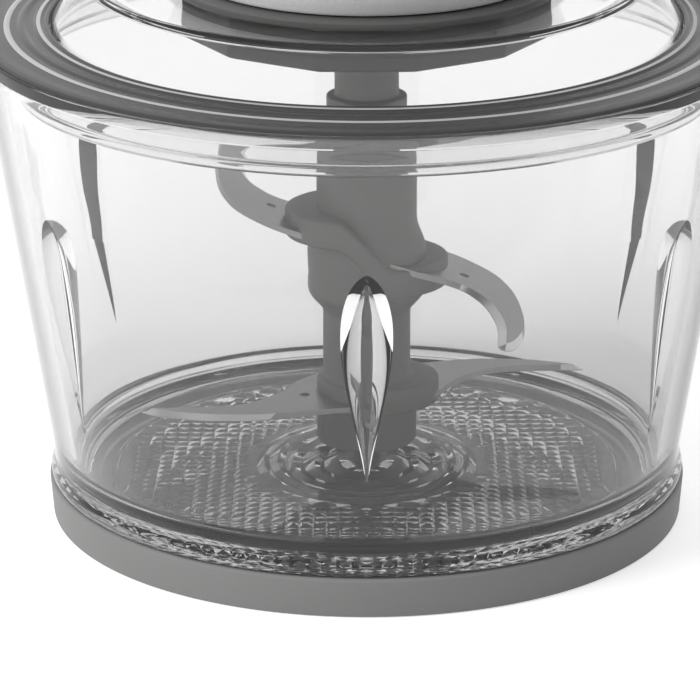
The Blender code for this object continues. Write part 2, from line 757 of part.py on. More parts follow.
def make_head_base():
    """Twelve-sided boss with a flange, hollow for the gearbox, open below for the blade stem."""
    boss = plate("head_base", [circle(head_boss_radius, head_sides, start=math.pi / head_sides)],
                 head_boss_bottom, (flange_bottom + flange_top) / 2, "head_dark")
    combine(boss, rod("head_flange", flange_radius, flange_bottom, flange_top, steps=40), "UNION")
    combine(boss, rod("head_bay", bay_radius, gear_ledge, flange_top + overlap, steps=36))
    combine(boss, rod("head_well", bay_radius - head_ledge, head_floor, gear_ledge + overlap, steps=36))
    combine(boss, rod("head_mouth", stem_radius + stem_clearance, head_boss_bottom - overlap,
                      head_floor + overlap, steps=32))
    face = head_boss_radius * math.cos(math.pi / head_sides)
    shift = head_boss_radius * math.sin(math.pi / head_sides) * head_slot_shift
    for i, side in enumerate((-1, 1, -1, 1)):
        turn = side * math.tau / head_sides + (math.pi if i > 1 else 0.0)
        slot = block(f"head_slot_{i + 1}", (head_slot_length, head_slot_depth, head_slot_height),
                     (side * shift, -face, head_boss_bottom + head_slot_rise), turn=turn)
        combine(boss, slot)
    for i in range(case_screw_count):
        post = rod(f"base_post_{i + 1}", screw_radius + post_wall + gap, head_floor - overlap / 2,
                   gear_ledge, at=case_screw_place(i), steps=10)
        combine(boss, post, "UNION")
    for i in range(case_screw_count):
        hole = rod(f"base_hole_{i + 1}", screw_radius + gap, head_floor, gear_ledge + overlap,
                   at=case_screw_place(i), steps=10)
        combine(boss, hole)


def make_sleeve():
    knee = sleeve_bottom + sleeve_flare
    inside = sleeve_radius - sleeve_wall
    outer = []
    inner = []
    for i in range(4):
        share = i / 3
        bulge = math.sin(share * math.pi / 2)
        outer.append((sleeve_bottom_radius + (sleeve_radius - sleeve_bottom_radius) * bulge,
                      sleeve_bottom + sleeve_flare * share))
        inner.append((sleeve_bottom_radius - sleeve_wall + (sleeve_radius - sleeve_bottom_radius) * bulge,
                      sleeve_bottom + sleeve_flare * share))
    profile = [(inside, sleeve_top), (sleeve_radius, sleeve_top), (sleeve_radius, knee)]
    profile += outer[::-1][1:] + inner[:-1] + [(inside, knee)]
    turned("head_sleeve", profile, "head_light", 40)


def make_cap():
    """Top of the head: a rounded shoulder, a well for the button and a shelf under its spring."""
    mouth = button_radius + gap
    well = mouth + sleeve_wall
    knee = cap_top - cap_shoulder
    outer = []
    inner = []
    for i in range(5):
        swing = math.pi / 2 * i / 4
        radius = cap_top_radius + (sleeve_radius - cap_top_radius) * math.cos(swing)
        height = knee + cap_shoulder * math.sin(swing)
        outer.append((radius, height))
        inner.append((radius - sleeve_wall, height - sleeve_wall * math.sin(swing)))
    shelf_low = shelf_top - shelf_thickness
    guide = button_stem_radius + button_stem_play
    profile = [(mouth, cap_top)] + outer[::-1] + [(sleeve_radius, cap_bottom),
                                                 (sleeve_radius - sleeve_wall, cap_bottom)]
    profile += inner + [(well, cap_top - sleeve_wall), (well, shelf_low), (guide, shelf_low),
                        (guide, shelf_top), (mouth, shelf_top)]
    cap = turned("top_cap", profile, "head_dark", 36)
    gland_level = cap_bottom + gland_height
    neck = gland_radius - gland_neck
    hole = rod("gland_hole", neck + gap, 0.0, 2 * gland_inside + gland_neck)
    lie_back(hole, sleeve_radius - sleeve_wall - gland_inside, gland_level)
    combine(cap, hole)
    profile = [(gland_bore, gland_length), (gland_radius - gland_taper, gland_length),
               (gland_radius, gland_flange), (gland_radius, gap), (neck, gap), (neck, -gland_inside),
               (gland_bore, -gland_inside)]
    gland = turned("cord_gland", profile, "foot_rubber", 24)
    lie_back(gland, sleeve_radius, gland_level)


def lie_back(made, start, height):
    """Turn an upright piece so that it points straight back."""
    made.rotation_euler = (-math.pi / 2, 0.0, 0.0)
    made.location = (0.0, start, height)


def make_button():
    """Hollow crowned button with a stem that reaches down to the switch."""
    crown = cap_top + button_rise
    under = cap_top - button_roof
    tip = switch_top + button_travel + gap
    skirt = shelf_top + button_travel + button_lap
    inside = button_radius - button_wall
    profile = [(0.0, crown), (button_radius * 0.55, crown - button_rise * 0.12),
               (button_radius * 0.85, crown - button_rise * 0.4),
               (button_radius, crown - button_rise * 0.8), (button_radius, skirt), (inside, skirt),
               (inside, under), (button_stem_radius, under), (button_stem_radius, tip), (0.0, tip)]
    turned("press_button", profile, "button_plastic", 32)
    make_spring(shelf_top + gap, under - gap)


def make_spring(bottom, top):
    """Coil spring round the button's stem, between the cap's shelf and the button."""
    points = spring_turns * spring_steps
    curve = bpy.data.curves.new("button_spring", "CURVE")
    curve.dimensions = "3D"
    curve.bevel_depth = spring_wire
    curve.bevel_resolution = 1
    curve.use_fill_caps = True
    spline = curve.splines.new("POLY")
    spline.points.add(points)
    for i, point in enumerate(spline.points):
        around = math.tau * i / spring_steps
        level = bottom + spring_wire + (top - bottom - 2 * spring_wire) * i / points
        point.co = (spring_radius * math.cos(around), spring_radius * math.sin(around), level, 1.0)
    keep(bpy.data.objects.new("button_spring", curve), "button_spring", "pin_steel")


# Gearbox

def involute(angle):
    return math.tan(angle) - angle


def gear_line(teeth, addendum, dedendum, share, phase):
    """Toothed outline; share is the part of the pitch that a tooth fills at the pitch circle."""
    pressure = math.radians(20.0)
    pitch = gear_module * teeth / 2
    base = pitch * math.cos(pressure)
    low = pitch - dedendum
    high = pitch + addendum
    half_pitch_tooth = math.pi * share / teeth
    flank = []
    for radius in (low, high):
        rolled = math.acos(min(1.0, base / radius)) if radius > base else 0.0
        flank.append((radius, half_pitch_tooth + involute(pressure) - involute(rolled)))
    points = []
    for tooth in range(teeth):
        middle = phase + math.tau * tooth / teeth
        for radius, half in flank:
            points.append((radius * math.cos(middle - half), radius * math.sin(middle - half)))
        for radius, half in flank[::-1]:
            points.append((radius * math.cos(middle + half), radius * math.sin(middle + half)))
    return points


def make_gears():
    tooth_share = 0.44
    sun = gear_line(sun_teeth, 0.9 * gear_module, 1.2 * gear_module, tooth_share, 0.0)
    plate("sun_pinion", [sun, circle(shaft_radius + gap, 20)], gear_bottom, gear_top, "iron")
    first = math.pi / 2
    ring_phase = None
    for i in range(planet_count):
        direction = first + math.tau * i / planet_count
        sun_share = direction * sun_teeth / math.tau
        planet_phase = direction + math.pi - (0.5 - sun_share) * math.tau / planet_teeth
        line = gear_line(planet_teeth, 0.9 * gear_module, 1.2 * gear_module, tooth_share, planet_phase)
        at = (sun_axis_distance * math.cos(direction), sun_axis_distance * math.sin(direction))
        planet = plate(f"planet_gear_{i + 1}", [line, circle(planet_pin_radius + gap, 16)], gear_bottom,
                       gear_top, "gear_nylon")
        planet.location = (at[0], at[1], 0.0)
        rod(f"planet_pin_{i + 1}", planet_pin_radius, carrier_bottom + planet_pin_sink, gear_top - gap,
            "pin_steel", at, 16)
        if ring_phase is None:
            planet_share = (direction - planet_phase) * planet_teeth / math.tau
            ring_phase = direction - planet_share * math.tau / ring_teeth
    hole = gear_line(ring_teeth, 1.2 * gear_module, 0.9 * gear_module, 1.0 - tooth_share, ring_phase)
    plate("ring_gear", [circle(ring_gear_radius, 40), hole], gear_plate_top + gap, gear_top, "gear_nylon")
    make_carrier(first)


def make_carrier(first):
    radius = sun_axis_distance + planet_pin_radius + planet_pin_land
    carrier = rod("planet_carrier", radius, carrier_bottom, carrier_top, "iron", steps=40)
    corner = output_flats / 2 / math.cos(math.pi / 6)
    neck = rod("carrier_neck", carrier_neck_radius, gear_ledge - 2 * gap, carrier_bottom + overlap / 2)
    drive = plate("carrier_drive", [circle(corner, 6)], stem_top - output_reach, gear_ledge)
    combine(carrier, neck, "UNION")
    combine(carrier, drive, "UNION")
    for i in range(planet_count):
        direction = first + math.tau * i / planet_count
        at = (sun_axis_distance * math.cos(direction), sun_axis_distance * math.sin(direction))
        hole = rod(f"carrier_hole_{i + 1}", planet_pin_radius + gap,
                   carrier_bottom + planet_pin_sink - gap, carrier_top + overlap, at=at, steps=10)
        combine(carrier, hole)


def make_gear_case():
    """Plate under the gears, and the cover over them that carries the lower bearing and the motor."""
    outline = [circle(bay_radius - gap, 36), circle(carrier_neck_radius + gap, 20)]
    top_outline = [circle(gear_cover_radius, 36), circle(bearing_radius + gap, 24)]
    for i in range(case_screw_count):
        outline.append(circle(screw_radius + gap, 8, case_screw_place(i)))
        top_outline.append(circle(screw_radius + gap, 8, case_screw_place(i)))
    plate("gear_plate", outline, gear_plate_bottom, gear_plate_top, "motor_plastic")
    cover = plate("gear_cover", top_outline, gear_cover_bottom, gear_cover_top, "motor_plastic")
    seat_bore = bearing_radius + gap + seat_play
    seat = tube("bearing_seat", seat_bore + bearing_seat_wall, seat_bore, gear_cover_top - overlap,
                gear_cover_bottom + bearing_width + 2 * gap, steps=24)
    combine(cover, seat, "UNION")
    for i in range(motor_screw_count):
        post = rod(f"motor_post_{i + 1}", screw_radius + post_wall, gear_cover_top - overlap,
                   stator_bottom - gap, at=motor_screw_place(i), steps=10)
        combine(cover, post, "UNION")
    for i in range(motor_screw_count):
        hole = rod(f"motor_hole_{i + 1}", screw_radius + gap, gear_cover_top + 2 * overlap,
                   stator_bottom + overlap, at=motor_screw_place(i), steps=8)
        combine(cover, hole)
    for i in range(case_screw_count):
        make_screw(f"case_screw_{i + 1}", case_screw_place(i), head_floor + overlap, gear_cover_top + gap)
    tube("lower_bearing", bearing_radius, shaft_radius + gap, gear_cover_bottom,
         gear_cover_bottom + bearing_width, "pin_steel", 24)


def make_screw(name, at, bottom, seat):
    """Pan head screw, with no recess in its small head."""
    head = screw_radius * 1.9
    top = seat + screw_head
    profile = [(0.0, top), (head * 0.7, top), (head, seat + screw_head * 0.55), (head, seat),
               (screw_radius, seat), (screw_radius, bottom), (0.0, bottom)]
    made = turned(name, profile, "pin_steel", 10)
    made.location = (at[0], at[1], 0.0)


# Motor

def make_stator():
    count = 48
    bore = stator_radius - stator_yoke
    tip = math.radians(64.0)
    inner = []
    for i in range(2):
        middle = math.pi * i
        root = math.asin(pole_neck / bore)
        neck_low = stator_bore + pole_tip_depth
        low = math.asin(pole_neck / neck_low)
        for share in (-1, -0.6, -0.2, 0.2, 0.6, 1):
            inner.append((stator_bore, middle + tip * share))
        inner.append((neck_low, middle + tip * 0.96))
        inner.append((neck_low, middle + low))
        inner.append((bore, middle + root))
        swing = math.pi - 2 * root
        for j in range(1, 9):
            inner.append((bore, middle + root + swing * j / 9))
        following = middle + math.pi
        inner.append((bore, following - root))
        inner.append((neck_low, following - low))
        inner.append((neck_low, following - tip * 0.96))
    hole = [(radius * math.cos(turn), radius * math.sin(turn)) for radius, turn in inner]
    outlines = [circle(stator_radius, count), hole]
    for i in range(motor_screw_count):
        outlines.append(circle(screw_radius + gap, 8, motor_screw_place(i)))
    plate("stator_core", outlines, stator_bottom, stator_top, "iron")
    make_field_coils()


def make_field_coils():
    """Racetrack coil round each pole neck, from the bore side to the yoke."""
    low = stator_bore + pole_tip_depth + gap
    neck = pole_neck + gap
    side_out = neck + coil_thickness
    high = math.sqrt((stator_radius - stator_yoke - gap) ** 2 - side_out ** 2)
    tall = stator_length + 2 * gap
    for side, name in ((-1, "field_coil_left"), (1, "field_coil_right")):
        centre = (side * (low + high) / 2, 0.0, stator_middle)
        coil = block(name, (high - low, 2 * side_out, tall + 2 * coil_thickness), centre, "copper")
        window = block(name + "_window", (high - low + 2 * overlap, 2 * neck, tall), centre)
        combine(coil, window)


def make_armature():
    """Shaft, slotted core, winding and commutator."""
    rod("armature_shaft", shaft_radius, gear_bottom, bracket_top + shaft_end, "pin_steel")
    half_slot = ((armature_radius, slot_mouth), (armature_radius - slot_lip, slot_mouth),
                 (armature_radius - slot_shoulder, slot_half_width),
                 (armature_radius - slot_depth, slot_half_width))
    step = math.tau / armature_slots
    turns = []
    for i in range(armature_slots):
        middle = step * i
        for radius, half in half_slot:
            turns.append((radius, middle - half / radius))
        for radius, half in half_slot[::-1]:
            turns.append((radius, middle + half / radius))
        for share in (0.35, 0.65):
            turns.append((armature_radius, middle + step * share))
    outline = [(radius * math.cos(turn), radius * math.sin(turn)) for radius, turn in turns]
    plate("armature_core", [outline, circle(shaft_radius + gap, 24)], stator_bottom, stator_top, "iron")
    make_winding()
    tube("commutator", commutator_radius, shaft_radius + gap, commutator_bottom, commutator_top, "copper",
         30)
    make_fan()


def make_winding():
    """End turns above and below the core, joined by a bar in each slot."""
    ring_out = armature_radius - winding_inset
    ring_in = shaft_radius + winding_core
    end = winding_rise - gap
    winding = tube("armature_winding", ring_out, ring_in, stator_top + gap, stator_top + end, "copper", 30)
    lower = tube("winding_lower", ring_out, ring_in, stator_bottom - end, stator_bottom - gap, steps=30)
    combine(winding, lower, "UNION")
    wide = 2 * (slot_half_width - gap) - winding_play
    deep = slot_depth - slot_shoulder - 2 * gap
    middle = armature_radius - slot_shoulder - gap - deep / 2 - winding_play / 2
    for i in range(armature_slots):
        bar = block(f"winding_bar_{i + 1}", (deep - winding_play, wide, stator_length + 4 * gap + overlap),
                    (middle, 0.0, stator_middle), turn=math.tau * i / armature_slots)
        combine(winding, bar, "UNION")


def make_fan():
    """Disc with a hub and upright vanes that reach past its edge."""
    hub_top_level = fan_bottom + fan_height + overlap
    disc = fan_radius * 0.79
    disc_top = fan_bottom + fan_disc
    bore = shaft_radius + gap
    profile = [(bore, hub_top_level), (fan_hub_radius, hub_top_level), (fan_hub_radius, disc_top),
               (disc, disc_top), (disc, fan_bottom), (bore, fan_bottom)]
    fan = turned("cooling_fan", profile, "motor_plastic", 36)
    start = fan_hub_radius - overlap
    for i in range(fan_vanes):
        vane = block(f"fan_vane_{i + 1}", (fan_radius - start, vane_thickness, fan_height),
                     ((fan_radius + start) / 2, overlap, fan_bottom + fan_height / 2 + overlap / 5),
                     turn=math.tau * i / fan_vanes)
        combine(fan, vane, "UNION")


def make_bracket():
    """Upper bearing bracket: a disc on four legs that stand on the stator."""
    outline = [circle(stator_radius, 36), circle(bearing_radius + gap, 24)]
    for i in range(motor_screw_count):
        outline.append(circle(screw_radius + gap, 8, motor_screw_place(i)))
    bracket = plate("motor_bracket", outline, bracket_bottom, bracket_top, "motor_plastic")
    for i in range(motor_screw_count):
        leg = rod(f"bracket_leg_{i + 1}", screw_radius + leg_wall, stator_top + gap,
                  bracket_bottom + overlap / 2, at=motor_screw_place(i), steps=10)
        combine(bracket, leg, "UNION")
    for i in range(motor_screw_count):
        hole = rod(f"leg_hole_{i + 1}", screw_radius + gap, stator_top, bracket_top + overlap,
                   at=motor_screw_place(i), steps=8)
        combine(bracket, hole)
    seat_bore = bearing_radius + gap + seat_play
    seat = tube("upper_seat", seat_bore + bearing_seat_wall, seat_bore, bracket_bottom + overlap,
                bracket_bottom + bearing_width, steps=24)
    combine(bracket, seat, "UNION")
    for i in range(3):
        post = rod(f"board_post_{i + 1}", board_post_radius, bracket_top - overlap, board_bottom - gap,
                   at=from_front(i * 120.0, stator_radius * 0.7), steps=8)
        combine(bracket, post, "UNION")
    tube("upper_bearing", bearing_radius, shaft_radius + gap, bracket_bottom,
         bracket_bottom + bearing_width, "pin_steel", 24)
    for i in range(motor_screw_count):
        make_screw(f"motor_screw_{i + 1}", motor_screw_place(i), gear_cover_top + 3 * overlap,
                   bracket_top + gap)
    make_brushes()


def make_brushes():
    """Two carbon brushes in front of and behind the commutator, each in a folded holder."""
    level = (commutator_bottom + commutator_top) / 2
    half = brush_width / 2
    start = commutator_radius + gap
    middle = start + brush_stand + brush_reach / 2
    low = half + gap + brush_wall
    roof = bracket_bottom - gap - level
    for side, name in ((-1, "left"), (1, "right")):
        turn = side * math.pi / 2
        block(f"brush_{name}", (brush_reach, brush_width, brush_width),
              (start + brush_reach / 2, 0.0, level), "carbon", turn)
        holder = block(f"brush_holder_{name}", (brush_reach, 2 * low, low + roof),
                       (middle, 0.0, level + (roof - low) / 2), "brass", turn)
        bore = block(f"brush_bore_{name}", (brush_reach + 2 * overlap, brush_width + 2 * gap,
                                            brush_width + 2 * gap), (middle, 0.0, level), turn=turn)
        combine(holder, bore)


def make_switch():
    rod("control_board", stator_radius - board_inset, board_bottom, board_top, "board_green", steps=40)
    block("micro_switch", (switch_length, switch_width, switch_height),
          (0.0, 0.0, board_top + gap + switch_height / 2), "switch_plastic")


make_base_dish()
make_bowl()
make_hub()
make_lid()
make_head_base()
make_sleeve()
make_cap()
make_button()
make_gears()
make_gear_case()
make_stator()
make_armature()
make_bracket()
make_switch()
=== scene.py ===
# Looks for the glass-bowl food chopper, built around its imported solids. Lengths in metres.
import math

import bpy
import numpy as np
from mathutils import Euler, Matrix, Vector
from mathutils.geometry import delaunay_2d_cdt


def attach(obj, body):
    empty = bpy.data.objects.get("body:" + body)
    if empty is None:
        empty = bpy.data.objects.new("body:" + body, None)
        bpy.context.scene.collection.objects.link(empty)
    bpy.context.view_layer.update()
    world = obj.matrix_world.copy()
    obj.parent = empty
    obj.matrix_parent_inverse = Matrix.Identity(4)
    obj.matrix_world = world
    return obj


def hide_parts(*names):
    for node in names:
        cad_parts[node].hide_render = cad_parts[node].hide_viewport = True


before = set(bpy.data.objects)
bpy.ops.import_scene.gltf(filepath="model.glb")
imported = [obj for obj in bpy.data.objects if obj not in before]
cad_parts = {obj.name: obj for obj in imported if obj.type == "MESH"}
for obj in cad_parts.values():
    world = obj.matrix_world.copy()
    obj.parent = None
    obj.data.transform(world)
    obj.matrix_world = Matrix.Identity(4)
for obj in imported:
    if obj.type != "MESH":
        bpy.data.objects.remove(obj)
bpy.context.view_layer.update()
mm = 0.001
fullTurn = 2 * math.pi
tiny = 1e-7      # points closer than this count as one
print("frame loaded:", len(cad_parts), "nodes")


def putMesh(name, points, faceSets, smooth=True, sharpAngle=None):
    # Points and faces go into the mesh as whole arrays; each face set has one face size.
    points = np.asarray(points, dtype=np.float32).reshape(-1, 3)
    sizes = np.concatenate([np.full(len(faces), faces.shape[1]) for faces in faceSets])
    corners = np.concatenate([faces.ravel() for faces in faceSets]).astype(np.int32)
    starts = np.concatenate([[0], np.cumsum(sizes)[:-1]]).astype(np.int32)
    mesh = bpy.data.meshes.new(name)
    mesh.vertices.add(len(points))
    mesh.vertices.foreach_set("co", points.ravel())
    mesh.loops.add(len(corners))
    mesh.loops.foreach_set("vertex_index", corners)
    mesh.polygons.add(len(starts))
    mesh.polygons.foreach_set("loop_start", starts)
    mesh.update(calc_edges=True)
    mesh.validate()
    mesh.polygons.foreach_set("use_smooth", np.full(len(mesh.polygons), smooth))
    if sharpAngle is not None:
        mesh.set_sharp_from_angle(angle=math.radians(sharpAngle))
    made = bpy.data.objects.new(name, mesh)
    bpy.context.scene.collection.objects.link(made)
    return made


def gridFaces(rows, columns, rowsClose=False, offset=0):
    # Quads of a grid whose columns run once round; the rows close too when asked.
    i = np.arange(rows if rowsClose else rows - 1)[:, None]
    j = np.arange(columns)[None, :]
    a = i * columns + j
    b = i * columns + (j + 1) % columns
    below = ((i + 1) % rows) * columns
    return np.stack([a, b, below + (j + 1) % columns, below + j], axis=-1).reshape(-1, 4) + offset


def fanFaces(first, columns, pole, flip):
    # Triangles from one grid row to a single point.
    j = np.arange(columns)
    k = (j + 1) % columns
    order = [first + k, first + j] if flip else [first + j, first + k]
    return np.stack(order + [np.full(columns, pole)], axis=1)


def rounded(profile, radius, steps, closed=True):
    # Each corner becomes a short quadratic curve between points on its two sides.
    line = np.asarray(profile, dtype=float)
    radii = np.broadcast_to(np.asarray(radius, dtype=float), (len(line),))
    before = np.roll(line, 1, axis=0) - line
    after = np.roll(line, -1, axis=0) - line
    lengthBefore = np.linalg.norm(before, axis=1)
    lengthAfter = np.linalg.norm(after, axis=1)
    cut = np.minimum(radii, 0.45 * np.minimum(lengthBefore, lengthAfter))
    start = line + before * (cut / lengthBefore)[:, None]
    end = line + after * (cut / lengthAfter)[:, None]
    t = np.linspace(0.0, 1.0, steps + 1)[None, :, None]
    curve = (1 - t) ** 2 * start[:, None] + 2 * t * (1 - t) * line[:, None] + t ** 2 * end[:, None]
    if closed:
        return curve.reshape(-1, 2)
    inner = curve[1:-1].reshape(-1, 2)
    return np.concatenate([line[:1], inner, line[-1:]])


def stepsFrom(corner, steps):
    # Points about a corner of a profile: the corner plus each step, which is in mm.
    return [(corner[0] + across * mm, corner[1] + up * mm) for across, up in steps]


def arcPoints(middle, radius, first, last, count):
    # Points of a circle, (x + r cos t, z + r sin t), with t in quarter turns from first to last.
    swing = np.linspace(first, last, count) * math.pi / 2
    return list(zip(middle[0] + radius * np.cos(swing), middle[1] + radius * np.sin(swing)))


def turnsOf(count):
    # Angles of that many equal steps round a circle.
    return np.arange(count) * fullTurn / count


def carriedRound(radius, height, turn):
    # Radii and heights at their turns round the axis: (r cos t, r sin t, z).
    x = radius * np.cos(turn)
    return np.stack([x, radius * np.sin(turn), np.broadcast_to(height, x.shape)], axis=-1).reshape(-1, 3)


def lathe(name, profile, columns, sharpAngle=35.0):
    # A profile of radius and height, carried once round the axis.
    # It climbs on the outside; where it starts or ends on the axis a point closes it.
    profile = np.asarray(profile, dtype=float)
    startsOnAxis = profile[0, 0] < tiny
    endsOnAxis = profile[-1, 0] < tiny
    line = profile[int(startsOnAxis):len(profile) - int(endsOnAxis)]
    points = carriedRound(line[:, :1], line[:, 1:], turnsOf(columns))
    faceSets = [gridFaces(len(line), columns, rowsClose=not (startsOnAxis or endsOnAxis))]
    if startsOnAxis:
        points = np.concatenate([points, [[0.0, 0.0, profile[0, 1]]]])
        faceSets.append(fanFaces(0, columns, len(points) - 1, True))
    if endsOnAxis:
        points = np.concatenate([points, [[0.0, 0.0, profile[-1, 1]]]])
        faceSets.append(fanFaces((len(line) - 1) * columns, columns, len(points) - 1, False))
    return putMesh(name, points, faceSets, True, sharpAngle)


def loopInside(points, loop):
    # Even-odd test of many points against one closed outline.
    x, y = points[:, 0][:, None], points[:, 1][:, None]
    x1, y1 = loop[:, 0][None], loop[:, 1][None]
    x2, y2 = np.roll(loop[:, 0], -1)[None], np.roll(loop[:, 1], -1)[None]
    crosses = (y1 > y) != (y2 > y)
    climb = np.where(np.abs(y2 - y1) < 1e-12, 1e-12, y2 - y1)      # never zero, as it divides
    return (np.sum(crosses & (x < (x2 - x1) * (y - y1) / climb + x1), axis=1) % 2).astype(bool)


def triangulate(points, edges):
    # Triangles over flat points that keep the given edges, all turning left.
    made = delaunay_2d_cdt([Vector(p) for p in points.tolist()], edges, [], 0, tiny, True)
    triangles = np.array([[made[3][v][0] for v in face] for face in made[2]])
    a, b, c = points[triangles[:, 0]], points[triangles[:, 1]], points[triangles[:, 2]]
    turn = (b[:, 0] - a[:, 0]) * (c[:, 1] - a[:, 1]) - (b[:, 1] - a[:, 1]) * (c[:, 0] - a[:, 0])
    triangles[turn < 0] = triangles[turn < 0][:, ::-1]
    return triangles


def loopEdges(count, start=0):
    # Pairs of following points round one closed loop.
    index = np.arange(count)
    return np.stack([start + index, start + (index + 1) % count], axis=1).tolist()


def fillFlat(outline, holes, free=None):
    # Triangles that fill an outline with holes; indices count through outline, holes, free points.
    loops = [outline] + holes
    points = np.concatenate(loops + ([] if free is None else [free]))
    edges = []
    start = 0
    for loop in loops:
        edges += loopEdges(len(loop), start)
        start += len(loop)
    triangles = triangulate(points, edges)
    middles = points[triangles].mean(axis=1)
    keep = loopInside(middles, outline)
    for hole in holes:
        keep &= ~loopInside(middles, hole)
    return points, triangles[keep]


def ringPoints(radius, count, middle=(0.0, 0.0)):
    # Points of a circle round its middle: (x + r cos t, y + r sin t).
    turn = turnsOf(count)
    return np.stack([middle[0] + radius * np.cos(turn), middle[1] + radius * np.sin(turn)], axis=1)


def newNode(nodes, kind, values=None):
    # A shader node with the given values on its inputs.
    node = nodes.new("ShaderNode" + kind)
    for socket, value in (values or {}).items():
        node.inputs[socket].default_value = value
    return node


def ramped(nodes, links, source, low, high, first=0.0, last=1.0, kind="LINEAR"):
    # The source's range from first to last, carried to low and high.
    mapper = newNode(nodes, "MapRange", {"From Min": first, "From Max": last, "To Min": low, "To Max": high})
    mapper.interpolation_type = kind
    links.new(source, mapper.inputs["Value"])
    return mapper.outputs["Result"]


def worked(nodes, links, operation, *sources):
    # One math node over its sources.
    node = newNode(nodes, "Math")
    node.operation = operation
    for source, socket in zip(sources, node.inputs):
        links.new(source, socket)
    return node.outputs[0]


def mixedInto(nodes, links, share, tint, colour):
    # The tint gives way to the colour by the share.
    mix = newNode(nodes, "Mix", {7: (*colour, 1.0)})
    mix.data_type = "RGBA"
    links.new(share, mix.inputs[0])
    links.new(tint, mix.inputs[6])
    return mix.outputs[2]


def flagOutput(nodes):
    # The mesh's own attribute, 1 on the faces that have a second tone.
    flag = newNode(nodes, "Attribute")
    flag.attribute_name = "flag"
    return flag.outputs["Fac"]


def setFlags(piece, flags):
    # One number for each face, which the material reads as the share of its second tone.
    attribute = piece.data.attributes.new("flag", "FLOAT", "FACE")
    attribute.data.foreach_set("value", np.asarray(flags, dtype=np.float32))


def makePattern(nodes, look):
    # The fine grain of a surface: waves, cells or noise.
    kind = look.get("pattern", "noise")
    scale = {"Scale": look.get("grain", 900.0)}
    if kind == "wave":
        wave = newNode(nodes, "TexWave", {**scale, "Distortion": look.get("distortion", 0.4), "Detail": 1.0})
        wave.wave_type = "BANDS"
        wave.bands_direction = look.get("direction", "Z")
        return wave, wave.outputs["Fac"]
    if kind == "voronoi":
        cells = newNode(nodes, "TexVoronoi", scale)
        return cells, cells.outputs["Distance"]
    noise = newNode(nodes, "TexNoise", {**scale, "Detail": look.get("detail", 4.0)})
    return noise, noise.outputs[0]


def makeMaterial(name, look):
    # Principled surface whose colour, roughness and bump vary with a pattern on Object coordinates.
    material = bpy.data.materials.new(name)
    material.use_nodes = True
    nodes, links = material.node_tree.nodes, material.node_tree.links
    shader = nodes["Principled BSDF"]
    where = newNode(nodes, "TexCoord").outputs["Object"]
    stretch = newNode(nodes, "Mapping", {"Scale": look.get("stretch", (1.0, 1.0, 1.0))})
    links.new(where, stretch.inputs["Vector"])
    pattern, value = makePattern(nodes, look)
    links.new(stretch.outputs["Vector"], pattern.inputs["Vector"])
    broad = newNode(nodes, "TexNoise", {"Scale": look.get("cloud", 60.0), "Detail": 3.0})
    links.new(where, broad.inputs["Vector"])
    colour, spread = look["colour"], look.get("spread", 0.06)
    mix = newNode(nodes, "Mix", {6: (*[c * (1 - spread) for c in colour], 1.0),
                                 7: (*[min(1.0, c * (1 + spread)) for c in colour], 1.0)})
    mix.data_type = "RGBA"
    links.new(broad.outputs[0], mix.inputs[0])
    tint = mix.outputs[2]
    if "fade" in look:
        # The tint deepens from one height of the piece down to another.
        low, high, deepest = look["fade"]
        split = newNode(nodes, "SeparateXYZ")
        links.new(where, split.inputs["Vector"])
        share = ramped(nodes, links, split.outputs["Z"], 1.0, 0.0, low, high, "SMOOTHSTEP")
        tint = mixedInto(nodes, links, share, tint, deepest)
    if "edge" in look:
        # Clear pieces darken where they are seen edge on: painted shade standing in for the dark reflections
        # at a glass outline.
        first, last, darkest = look["edge"]
        facing = newNode(nodes, "LayerWeight", {"Blend": 0.5}).outputs["Facing"]
        share = ramped(nodes, links, facing, 0.0, 1.0, first, last, "SMOOTHSTEP")
        if look.get("edgeFlagged"):
            share = worked(nodes, links, "MULTIPLY", share, flagOutput(nodes))
        tint = mixedInto(nodes, links, share, tint, darkest)
    if "flagged" in look:
        tint = mixedInto(nodes, links, flagOutput(nodes), tint, look["flagged"])
    links.new(tint, shader.inputs["Base Color"])
    rough = look["rough"]
    links.new(ramped(nodes, links, value, rough * 0.85, min(1.0, rough * 1.2)), shader.inputs["Roughness"])
    strength, depth = look.get("bump", 0.05), look.get("depth", 0.0001)
    bump = newNode(nodes, "Bump", {"Strength": strength, "Distance": depth})
    links.new(value, bump.inputs["Height"])
    links.new(bump.outputs["Normal"], shader.inputs["Normal"])
    shader.inputs["Coat Roughness"].default_value = 0.08
    for socket, key, plain in (("Metallic", "metal", 0.0), ("Transmission Weight", "clear", 0.0),
                               ("IOR", "ior", 1.5), ("Coat Weight", "coat", 0.0),
                               ("Specular IOR Level", "specular", 0.5)):
        shader.inputs[socket].default_value = look.get(key, plain)
    return material


